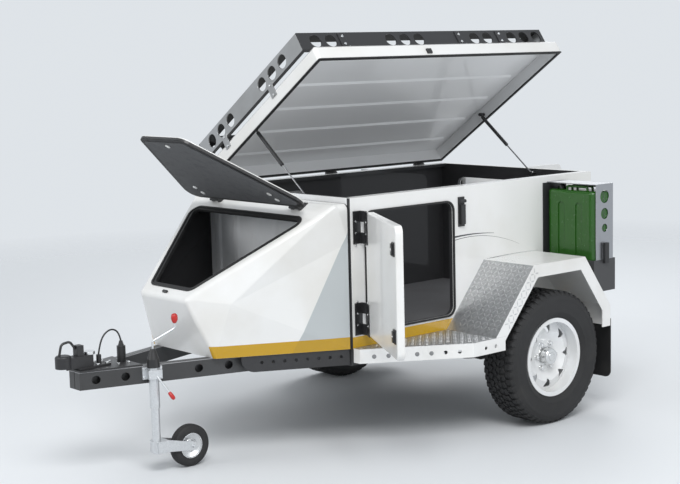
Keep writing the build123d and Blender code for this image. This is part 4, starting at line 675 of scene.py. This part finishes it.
def plug_lead():
    """The short lead from its gland up and over to the parked plug."""
    curve = bpy.data.curves.new("plug_lead_cord", "CURVE")
    curve.dimensions = "3D"
    curve.bevel_depth = 0.004
    curve.bevel_resolution = 4
    curve.resolution_u = 16
    curve.use_fill_caps = True
    line = curve.splines.new("NURBS")
    line.points.add(len(LEAD_ROUTE) - 1)
    for point, place in zip(line.points, LEAD_ROUTE):
        point.co = (*at(*place), 1)
    line.order_u = 3
    line.use_endpoint_u = True
    curve.materials.append(MATERIALS["lead"])
    made = bpy.data.objects.new("plug_lead_cord", curve)
    bpy.context.collection.objects.link(made)
    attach(made, "trailer")
    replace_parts(made, "plug_lead")


plug_lead()


# Bolts and screws

def bolt(bm, place, way, radius, height, sides, crown):
    """A bolt head standing on a surface, with a chamfered crown."""
    way = Vector(way).normalized()
    turn = way.to_track_quat("Z", "Y").to_matrix().to_4x4()
    move = Matrix.Translation(place + way * height / 2000) @ turn
    made = bmesh.ops.create_cone(bm, cap_ends=True, segments=sides, radius1=radius / 1000,
                                 radius2=radius / 1000, depth=height / 1000, matrix=move)["verts"]
    top = {vert for vert in made if (vert.co - place).dot(way) > height / 2000}
    edges = {edge for vert in top for edge in vert.link_edges if set(edge.verts) <= top}
    bmesh.ops.bevel(bm, geom=list(edges), offset=radius * crown / 1000, affect="EDGES", segments=2,
                    profile=0.5, material=-1)


def bolt_heads(bm, heads, turn):
    for place, *rest in heads:
        bolt(bm, at(*place), *rest)
    if turn:
        bmesh.ops.transform(bm, matrix=turn, verts=bm.verts)


def bolt_set(name, heads, look, body, slot, turn=None):
    """One piece from many heads: place, way out, radius, height, sides, crown."""
    return smooth(piece(name, bolt_heads, look, body, slot, heads, turn), 30)


def mirrored(heads):
    """The same heads on the right side."""
    return [((x, -y, z), (a, -b, c), *rest) for (x, y, z), (a, b, c), *rest in heads]


HEX = 6
ROUND = 20
NUT_CIRCLE = 69.85
NUT_COUNT = 6
RIM_FACE = WHEEL_Y + 25
HUB_FACE = WHEEL_Y + 72


def wheel_nuts(side):
    """A nut on a washer for each stud, and the cap of the hub."""
    out = (0, side, 0)
    heads = []
    for stud in range(NUT_COUNT):
        angle = stud * 2 * pi / NUT_COUNT
        x, z = NUT_CIRCLE * cos(angle), WHEEL_Z - NUT_CIRCLE * sin(angle)
        heads.append(((x, side * RIM_FACE, z), out, 12.6, 18, HEX, 0.3))
        heads.append(((x, side * RIM_FACE, z), out, 15.5, 3, ROUND, 0.1))
    heads.append(((0, side * HUB_FACE, WHEEL_Z), out, 22, 3, 32, 0.1))
    return heads


def valve(side):
    """A stem that leans in from the rim, with its cap."""
    way = (-0.15, side, -0.15)
    return [((126, side * (WHEEL_Y + 12), WHEEL_Z + 126), way, 5.5, 30, 14, 0.3),
            ((122, side * (WHEEL_Y + 41), WHEEL_Z + 122), way, 4, 8, 14, 0.3)]


for side, name in SIDES:
    bolt_set("wheel_nuts_" + name, wheel_nuts(side), "chrome", name + "_wheel", "bright_steel")
    bolt_set("tyre_valve_" + name, valve(side), "rubber", name + "_wheel", "black_rubber")


COUPLING_TOP = 538
HEAD_TOP = 528
COUPLING_BOLTS = ((2166, -25), (2166, 25), (2216, -25), (2216, 25))
HEAD_BOLTS = ((2060, 46), (2060, -46), (2112, 40), (2112, -40))
drawbar_heads = [((x, y, COUPLING_TOP), UP, 10, 8, HEX, 0.15) for x, y in COUPLING_BOLTS]
drawbar_heads += [((x, y, HEAD_TOP), UP, 8, 6, HEX, 0.15) for x, y in HEAD_BOLTS]
bolt_set("drawbar_bolts", drawbar_heads, "zinc", "trailer", "bright_steel")

FITTING_ROWS = (695, 1090)
SCREW_ROWS = [row + off for row in FITTING_ROWS for off in (-58, 0, 58)]
FIXED_LEAF = (1086, 596)
DOOR_LEAF = (1020, 640)
LATCH_FACE = (450, 650)
fixed_screws = [((*FIXED_LEAF, z), LEFT, 6, 2.4, 16, 0.35) for z in SCREW_ROWS]
door_screws = [((*DOOR_LEAF, z), LEFT, 6, 2.4, 16, 0.35) for z in SCREW_ROWS]
latch_locks = [((*LATCH_FACE, z), LEFT, 8, 2, ROUND, 0.3) for z in FITTING_ROWS]
bolt_set("hinge_screws", mirrored(fixed_screws) + fixed_screws, "zinc", "trailer", "bright_steel")
bolt_set("door_screws_left", door_screws, "zinc", "left_door", "bright_steel", DOOR_RAISED)
bolt_set("door_screws_right", mirrored(door_screws), "zinc", "right_door", "bright_steel")
bolt_set("latch_locks_left", latch_locks, "zinc", "left_door", "bright_steel", DOOR_RAISED)
bolt_set("latch_locks_right", mirrored(latch_locks), "zinc", "right_door", "bright_steel")

STEP_BEND = Vector((630, 940, 0))
STEP_FRONT = Vector((1115, 636, 0))
STEP_RUN = STEP_FRONT - STEP_BEND
STEP_FACE = Vector((-STEP_RUN.y, STEP_RUN.x, 0)).normalized()
STEP_SPACES = 8
STEP_BOLTS = (3, 4, 5, 6, 7)
STEP_ROW = 486.4


def step_bolt(index, side):
    """A bolt head in the slanted skirt of a step."""
    place = STEP_BEND + STEP_RUN * (index / STEP_SPACES)
    way = Vector((STEP_FACE.x, side * STEP_FACE.y, 0))
    place = Vector((place.x, side * place.y, STEP_ROW)) - way
    return (tuple(place), tuple(way), 11.5, 3.5, ROUND, 0.3)


step_heads = [step_bolt(index, side) for index in STEP_BOLTS for side in (-1, 1)]
bolt_set("step_bolts", step_heads, "bolt_grey", "trailer", "bright_steel")


# Roof rack, in its place on the shut lid

RACK_FRONT = 1115
RACK_REAR = -691
RACK_HALF = 518
RACK_LOW = 1371
RACK_TOP = 1465.5
RACK_FOLD = 1469
LID_TOP = 1357
FOOT_HALF = 512
FOOT_TOE = 541
FOOT_PLATE = 5
FOOT_FRONT = 1320
LONG_FEET = [RACK_REAR + share * (RACK_FRONT - RACK_REAR) for share in (0.2, 0.377, 0.842)]
CROSS_FEET = [(2 * share - 1) * FOOT_HALF for share in (0.213, 0.69)]


def rack_heads():
    """Bolts of the feet: into the lid, and through the long and the cross rails."""
    heads = []
    for side in (-1, 1):
        for x in LONG_FEET:
            heads.append(((x, side * FOOT_TOE, LID_TOP + FOOT_PLATE), UP, 8, 5, HEX, 0.15))
            for z in (RACK_LOW + 24, RACK_LOW + 70):
                face = side * (RACK_HALF + FOOT_PLATE)
                heads.append(((x, face, z), (0, side, 0), 8, 5, HEX, 0.15))
    for x, way in ((RACK_FRONT + FOOT_PLATE, 1), (RACK_REAR - FOOT_PLATE, -1)):
        for y in CROSS_FEET:
            for z in (FOOT_FRONT, RACK_LOW + 3):
                heads.append(((x, y, z), (way, 0, 0), 7, 4, HEX, 0.15))
    return heads


def rack_ring(bm, inset, width, low, high):
    """A flat ring that follows the rails of the rack."""
    front, rear, half = RACK_FRONT - inset, RACK_REAR + inset, RACK_HALF - inset
    corners = ((front, half), (rear, half), (rear, -half), (front, -half))
    bm.faces.new([bm.verts.new(at(x, y, low)) for x, y in corners])
    thick_ring(bm, width, Vector((0, 0, high - low)))
    bmesh.ops.transform(bm, matrix=LID_RAISED, verts=bm.verts)


bolt_set("rack_bolts", rack_heads(), "zinc", "lid", "bright_steel", LID_RAISED)
piece("rack_top_fold", rack_ring, "rubber", "lid", "black_paint", 6, 72, RACK_TOP, RACK_FOLD)
piece("rack_packing", rack_ring, "rubber", "lid", "black_rubber", 0, 6, LID_TOP + 0.2, RACK_LOW)


# Jockey wheel

JOCKEY_Y = 180.85
JOCKEY_TURN = radians(-17.07)
JOCKEY_PLACE = Matrix.Translation(at(2010, JOCKEY_Y, 0)) @ Matrix.Rotation(JOCKEY_TURN, 4, "Z")
JOCKEY_AXLE = at(1824, JOCKEY_Y, 102.5)
JOCKEY_HALF = [(102.4, 4), (102.4, 9), (100.6, 10), (100.6, 12), (102, 13), (101.2, 18), (99.0, 20),
               (97.2, 22.4), (93, 24.6), (88, 25.9), (83, 26.6), (78, 27.4), (72, 26.2), (67, 24.2),
               (64.4, 23), (62.3, 22)]
JOCKEY_RINGS = (((61.5, 21.2), (58.0, 21.2), (56.4, 18.6), (56.4, 16.0), (61.5, 18.0)),
                ((34.0, 13.6), (30.5, 15.4), (27.4, 13.6), (27.4, 10.6), (34.0, 12.4)))
CRANK_GRIP = ((0, 0), (7.5, 0), (9, 2), (12.5, 8), (15.5, 16), (16.5, 26), (15.5, 35), (12.5, 42),
              (7, 46), (0, 46.5))
LEVER_GRIP = ((0, 0), (6, 0), (8, 3), (9.5, 10), (10.2, 22), (9.8, 32), (7.6, 39), (4, 42), (0, 42.5))
CRANK_END = (-112, 0, 716)
LEVER_END = (-52, 64, 402)
LEVER_WAY = (-44, 36, -74)
PLATE_BOLTS = [(x, -21, z) for x in (-41, 41) for z in (464, 506)]
COLLAR_BOLTS = [(x, 32, z) for x in (-26, 26) for z in (471, 499)]


def jockey_tread(bm):
    lathe(bm, both_halves(JOCKEY_HALF), JOCKEY_AXLE, 64)


def jockey_rings(bm):
    """Rolled rings on both faces of the jockey wheel's rim."""
    for ring in JOCKEY_RINGS:
        for side in (-1, 1):
            lathe(bm, [(r, side * y) for r, y in ring], JOCKEY_AXLE, 64)


def grip(bm, outline, place, way):
    """A rounded grip on the end of a rod, in the jockey's own place."""
    others = set(bm.verts)
    verts = [bm.verts.new(Vector((r, 0, along)) / 1000) for r, along in outline]
    edges = [bm.edges.new(pair) for pair in zip(verts, verts[1:])]
    bmesh.ops.spin(bm, geom=verts + edges, cent=(0, 0, 0), axis=UP, angle=2 * pi, steps=28,
                   use_merge=True)
    turn = Vector(way).normalized().to_track_quat("Z", "Y").to_matrix().to_4x4()
    move = JOCKEY_PLACE @ Matrix.Translation(Vector(place) / 1000) @ turn
    bmesh.ops.transform(bm, matrix=move, verts=[vert for vert in bm.verts if vert not in others])


def jockey_grips(bm):
    grip(bm, CRANK_GRIP, CRANK_END, UP)
    grip(bm, LEVER_GRIP, LEVER_END, LEVER_WAY)


def clamp_bolts(bm):
    for place in PLATE_BOLTS:
        bolt(bm, Vector(place) / 1000, LEFT, 6.6, 7, HEX, 0.2)
    for place in COLLAR_BOLTS:
        bolt(bm, Vector(place) / 1000, LEFT, 5.5, 4, HEX, 0.2)
    bmesh.ops.transform(bm, matrix=JOCKEY_PLACE, verts=bm.verts)


tread = piece("jockey_tread", jockey_tread, "tyre", "jockey_roller", "tyre_rubber")
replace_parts(smooth(tread, 30), "jockey_tyre")
smooth(piece("jockey_rings", jockey_rings, "chrome", "jockey_roller", "galvanised"), 40)
grips = piece("round_grips", jockey_grips, "red", "trailer", "red_plastic")
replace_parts(smooth(grips, 40), "jockey_grips")
smooth(piece("clamp_bolts", clamp_bolts, "galvanised", "trailer", "galvanised"), 30)


# Can holders

BACK_SIZE = Matrix.Diagonal((0.196, 0.0036, 0.400, 1))
BACK_PLACE = (-379, 594.1, 1029)


def holder_backs(bm):
    """The black plate between each can and the body side."""
    x, y, z = BACK_PLACE
    for side in (-1, 1):
        made = bmesh.ops.create_cube(bm, size=1)["verts"]
        move = Matrix.Translation(at(x, side * y, z)) @ BACK_SIZE
        bmesh.ops.transform(bm, matrix=move, verts=made)
    bmesh.ops.bevel(bm, geom=list(bm.edges), offset=0.001, affect="EDGES", segments=1, profile=0.5,
                    material=-1)


piece("holder_backs", holder_backs, "black", "trailer", "black_paint")


# Black lining of the nose, just inside its wall

NOSE_CORNERS = {"crest": (1109, 562, 1222), "brow": (1185, 562, 1222), "tip": (1809.8, 182.2, 804.2),
                "chin": (1694.8, 255.9, 533), "heel": (1109, 562, 533), "crease": (1109, 562, 1045),
                "knee": (1647.2, 317, 785)}
NOSE_REAR = at(1122, 0, 0)
NOSE_STRIPS = (("crest", "brow"), ("tip", "chin"), ("chin", "heel"))
NOSE_FACETS = (("brow", "tip", "knee"), ("brow", "knee", "crease"), ("brow", "crease", "crest"),
               ("tip", "chin", "knee"), ("chin", "heel", "knee"), ("heel", "crease", "knee"))


def nose_lining(bm):
    """The nose's facets on both sides, open towards the bulkhead and up to the hatch."""
    left = {name: bm.verts.new(at(x, y, z)) for name, (x, y, z) in NOSE_CORNERS.items()}
    right = {name: bm.verts.new(at(x, -y, z)) for name, (x, y, z) in NOSE_CORNERS.items()}
    for a, b in NOSE_STRIPS:
        bm.faces.new((left[a], left[b], right[b], right[a]))
    for side in (left, right):
        for names in NOSE_FACETS:
            bm.faces.new([side[name] for name in names])
    every = list(bm.verts) + list(bm.edges) + list(bm.faces)
    bmesh.ops.bisect_plane(bm, geom=every, plane_co=NOSE_REAR, plane_no=(1, 0, 0), clear_inner=True)


piece("nose_lining", nose_lining, "dark", "trailer", "black_rubber")


# Hatch: rubber round its mouth, rubber and screws on its lining

MOUTH_HEAD = -118
MOUTH_FOOT = -698
MOUTH_HEAD_HALF = 470
MOUTH_FOOT_HALF = 164
MOUTH_LEAN = (MOUTH_HEAD_HALF - MOUTH_FOOT_HALF) / (MOUTH_HEAD - MOUTH_FOOT)
LINING_SCREWS = ((0, -662), (-309, -220), (-309, -162), (309, -220), (309, -162))


def mouth_ring(bm, spread, width, low, high, corners):
    """A flat ring that follows the hatch mouth, between two heights over the nose slope."""
    side = spread * (1 + MOUTH_LEAN * MOUTH_LEAN) ** 0.5
    top = MOUTH_HEAD_HALF + MOUTH_LEAN * spread + side
    bottom = MOUTH_FOOT_HALF - MOUTH_LEAN * spread + side
    head = [bm.verts.new(slope(across, MOUTH_HEAD + spread, low)) for across in (top, -top)]
    foot = [bm.verts.new(slope(across, MOUTH_FOOT - spread, low)) for across in (-bottom, bottom)]
    bm.faces.new(head + foot)
    for verts, reach in ((head, corners[0]), (foot, corners[1])):
        bmesh.ops.bevel(bm, geom=verts, offset=reach / 1000, affect="VERTICES", segments=7,
                        profile=0.5, material=-1)
    thick_ring(bm, width, SLOPE_OUT * (high - low))


def hatch_ring(bm):
    mouth_ring(bm, 24, 22, 5.1, 6.0, (104, 40))
    bmesh.ops.transform(bm, matrix=HATCH_RAISED, verts=bm.verts)


def lining_heads(bm):
    for across, up in LINING_SCREWS:
        bolt(bm, slope(across, up, 2), -SLOPE_OUT, 14, 4, ROUND, 0.2)
    bmesh.ops.transform(bm, matrix=HATCH_RAISED, verts=bm.verts)


piece("mouth_trim", mouth_ring, "rubber", "trailer", "black_rubber", -0.2, 15, -14, 0.6, (70, 25))
piece("hatch_rubber", hatch_ring, "rubber", "hatch", "black_rubber")
smooth(piece("lining_screws", lining_heads, "white", "hatch", "white_paint"), 30)


# Raised bars of the chequer plate

BAR_CELL = 25
BAR_LEAN = 45
BAR_SIZE = Matrix.Diagonal((0.0135, 0.0036, 0.0013, 1))
BAR_MIDDLE = 0.00055


def plate_bar(bm, place, along, out, lean):
    """One long low bar of the pattern on a surface, leaning from the line along it."""
    along, out = Vector(along).normalized(), Vector(out).normalized()
    turn = Matrix((along, out.cross(along), out)).transposed().to_4x4()
    move = Matrix.Translation(place + out * BAR_MIDDLE) @ turn @ Matrix.Rotation(radians(lean), 4, "Z")
    bmesh.ops.create_cone(bm, cap_ends=True, segments=6, radius1=1, radius2=0.62, depth=1,
                          matrix=move @ BAR_SIZE)


def plate_field(bm, start, along, across, counts, out, inside=None):
    """Rows of bars that lean one way and the other in turn."""
    along_step, across_step = Vector(along) * BAR_CELL, Vector(across) * BAR_CELL
    for row in range(counts[0]):
        for column in range(counts[1]):
            spot = Vector(start) + along_step * (row + 0.5) + across_step * (column + 0.5)
            if inside is None or inside(spot):
                plate_bar(bm, at(*spot), along, out, BAR_LEAN if (row + column) % 2 else -BAR_LEAN)


FENDER_RUN = Vector((285, 0, -336)).normalized()
FENDER_OUT = Vector((336, 0, 285)).normalized()
FENDER_X = 185
FENDER_TOP = 862
FENDER_SIDE = 940
FENDER_DEEP = 58
PLATE_INNER = 600
STEP_REAR = 478
STEP_INNER = 606
STEP_TOP = 526
STEP_MARGIN = (20, 18)


def on_step(spot):
    """Inside the slanted front edge of a step."""
    edge = STEP_BEND.y + max(0, spot.x - STEP_BEND.x) * STEP_RUN.y / STEP_RUN.x
    return spot.x < STEP_FRONT.x - STEP_MARGIN[0] and abs(spot.y) < edge - STEP_MARGIN[1]


def clear_of_seam(spot):
    """Away from the corner where fender, step and body meet."""
    return abs(spot.y) > 655 or spot.z > 660


def step_bars(bm, side):
    corner = (STEP_REAR, side * STEP_INNER, STEP_TOP)
    plate_field(bm, corner, (1, 0, 0), (0, side, 0), (25, 13), UP, on_step)


def fender_bars(bm, side):
    """Bars on the fender's slanted front, and down its outer flange."""
    out = (0, side, 0)
    top = Vector((FENDER_X, side * PLATE_INNER, FENDER_TOP)) + FENDER_RUN * 8
    plate_field(bm, top, FENDER_RUN, out, (16, 13), FENDER_OUT, clear_of_seam)
    edge = Vector((FENDER_X, side * FENDER_SIDE, FENDER_TOP)) + FENDER_RUN * 6
    plate_field(bm, edge - FENDER_OUT * FENDER_DEEP, FENDER_RUN, FENDER_OUT, (14, 2), out)


for side, name in SIDES:
    piece("step_bars_" + name, step_bars, "bars", "trailer", "chequer_plate", side)
    piece("fender_bars_" + name, fender_bars, "bars", "trailer", "chequer_plate", side)


# Floor, light and camera

def studio_floor():
    bm = bmesh.new()
    bmesh.ops.create_grid(bm, x_segments=1, y_segments=1, size=40,
                          matrix=Matrix.Translation((STUDIO_X, 0, GROUND)))
    mesh = bpy.data.meshes.new("studio_floor")
    bm.to_mesh(mesh)
    bm.free()
    mesh.materials.append(floor_material())
    floor = bpy.data.objects.new("studio_floor", mesh)
    bpy.context.collection.objects.link(floor)


def lamp(name, place, target, size, power):
    """A soft panel of light that faces its target."""
    light = bpy.data.lights.new(name, "AREA")
    light.shape = "RECTANGLE"
    light.size, light.size_y = size
    light.energy = power
    made = bpy.data.objects.new(name, light)
    made.location = place
    made.rotation_euler = (Vector(target) - Vector(place)).to_track_quat("-Z", "Y").to_euler()
    bpy.context.collection.objects.link(made)


AIR_LIGHT = 0.60
AIR_SEEN = 0.92


def studio_air():
    """Even light all round, seen a little brighter than it shines."""
    world = bpy.data.worlds.new("studio_air")
    world.use_nodes = True
    air = Nodes(world.node_tree)
    camera, glossy, through = (air.node("ShaderNodeLightPath", {}, {}, f"Is {kind} Ray")
                               for kind in ("Camera", "Glossy", "Transmission"))
    seen = camera.math("MAXIMUM", glossy).math("MAXIMUM", through)
    background = world.node_tree.nodes["Background"]
    background.inputs["Color"].default_value = (0.80, 0.84, 0.88, 1)
    air.feed(background.inputs["Strength"], seen * (AIR_SEEN - AIR_LIGHT) + AIR_LIGHT)
    bpy.context.scene.world = world


studio_floor()
studio_air()
lamp("key", (1.5, 4.5, 5.5), (-2.0, 0.2, 0.2), (4.0, 3.0), 340)
lamp("low", (-3.2, 5.6, 0.5), (-2.5, -0.2, 1.1), (3.2, 1.6), 34)
lamp("fill", (4.5, -1.5, 3.0), (-1.8, 0.0, 0.2), (3.0, 3.0), 85)
lamp("back", (-6.5, -3.5, 4.5), (-2.0, 0.0, 0.5), (4.0, 3.0), 190)
bpy.context.scene.view_settings.view_transform = "Standard"


def photo_camera():
    data = bpy.data.cameras.new("photo_camera")
    data.lens = 76.6
    data.sensor_width = 36
    data.shift_x = -0.0018
    data.shift_y = 0.0176
    made = bpy.data.objects.new("photo_camera", data)
    ahead = Vector((-0.64706, -0.74971, -0.13874)).normalized()
    right = ahead.cross(Vector((0, 0, 1))).normalized()
    up = right.cross(ahead)
    roll = radians(-1.418)
    right, up = right * cos(roll) + up * sin(roll), up * cos(roll) - right * sin(roll)
    turn = Matrix((right, up, -ahead)).transposed().to_4x4()
    made.matrix_world = Matrix.Translation((3.308, 5.821, 1.392)) @ turn
    bpy.context.collection.objects.link(made)
    bpy.context.scene.camera = made


photo_camera()
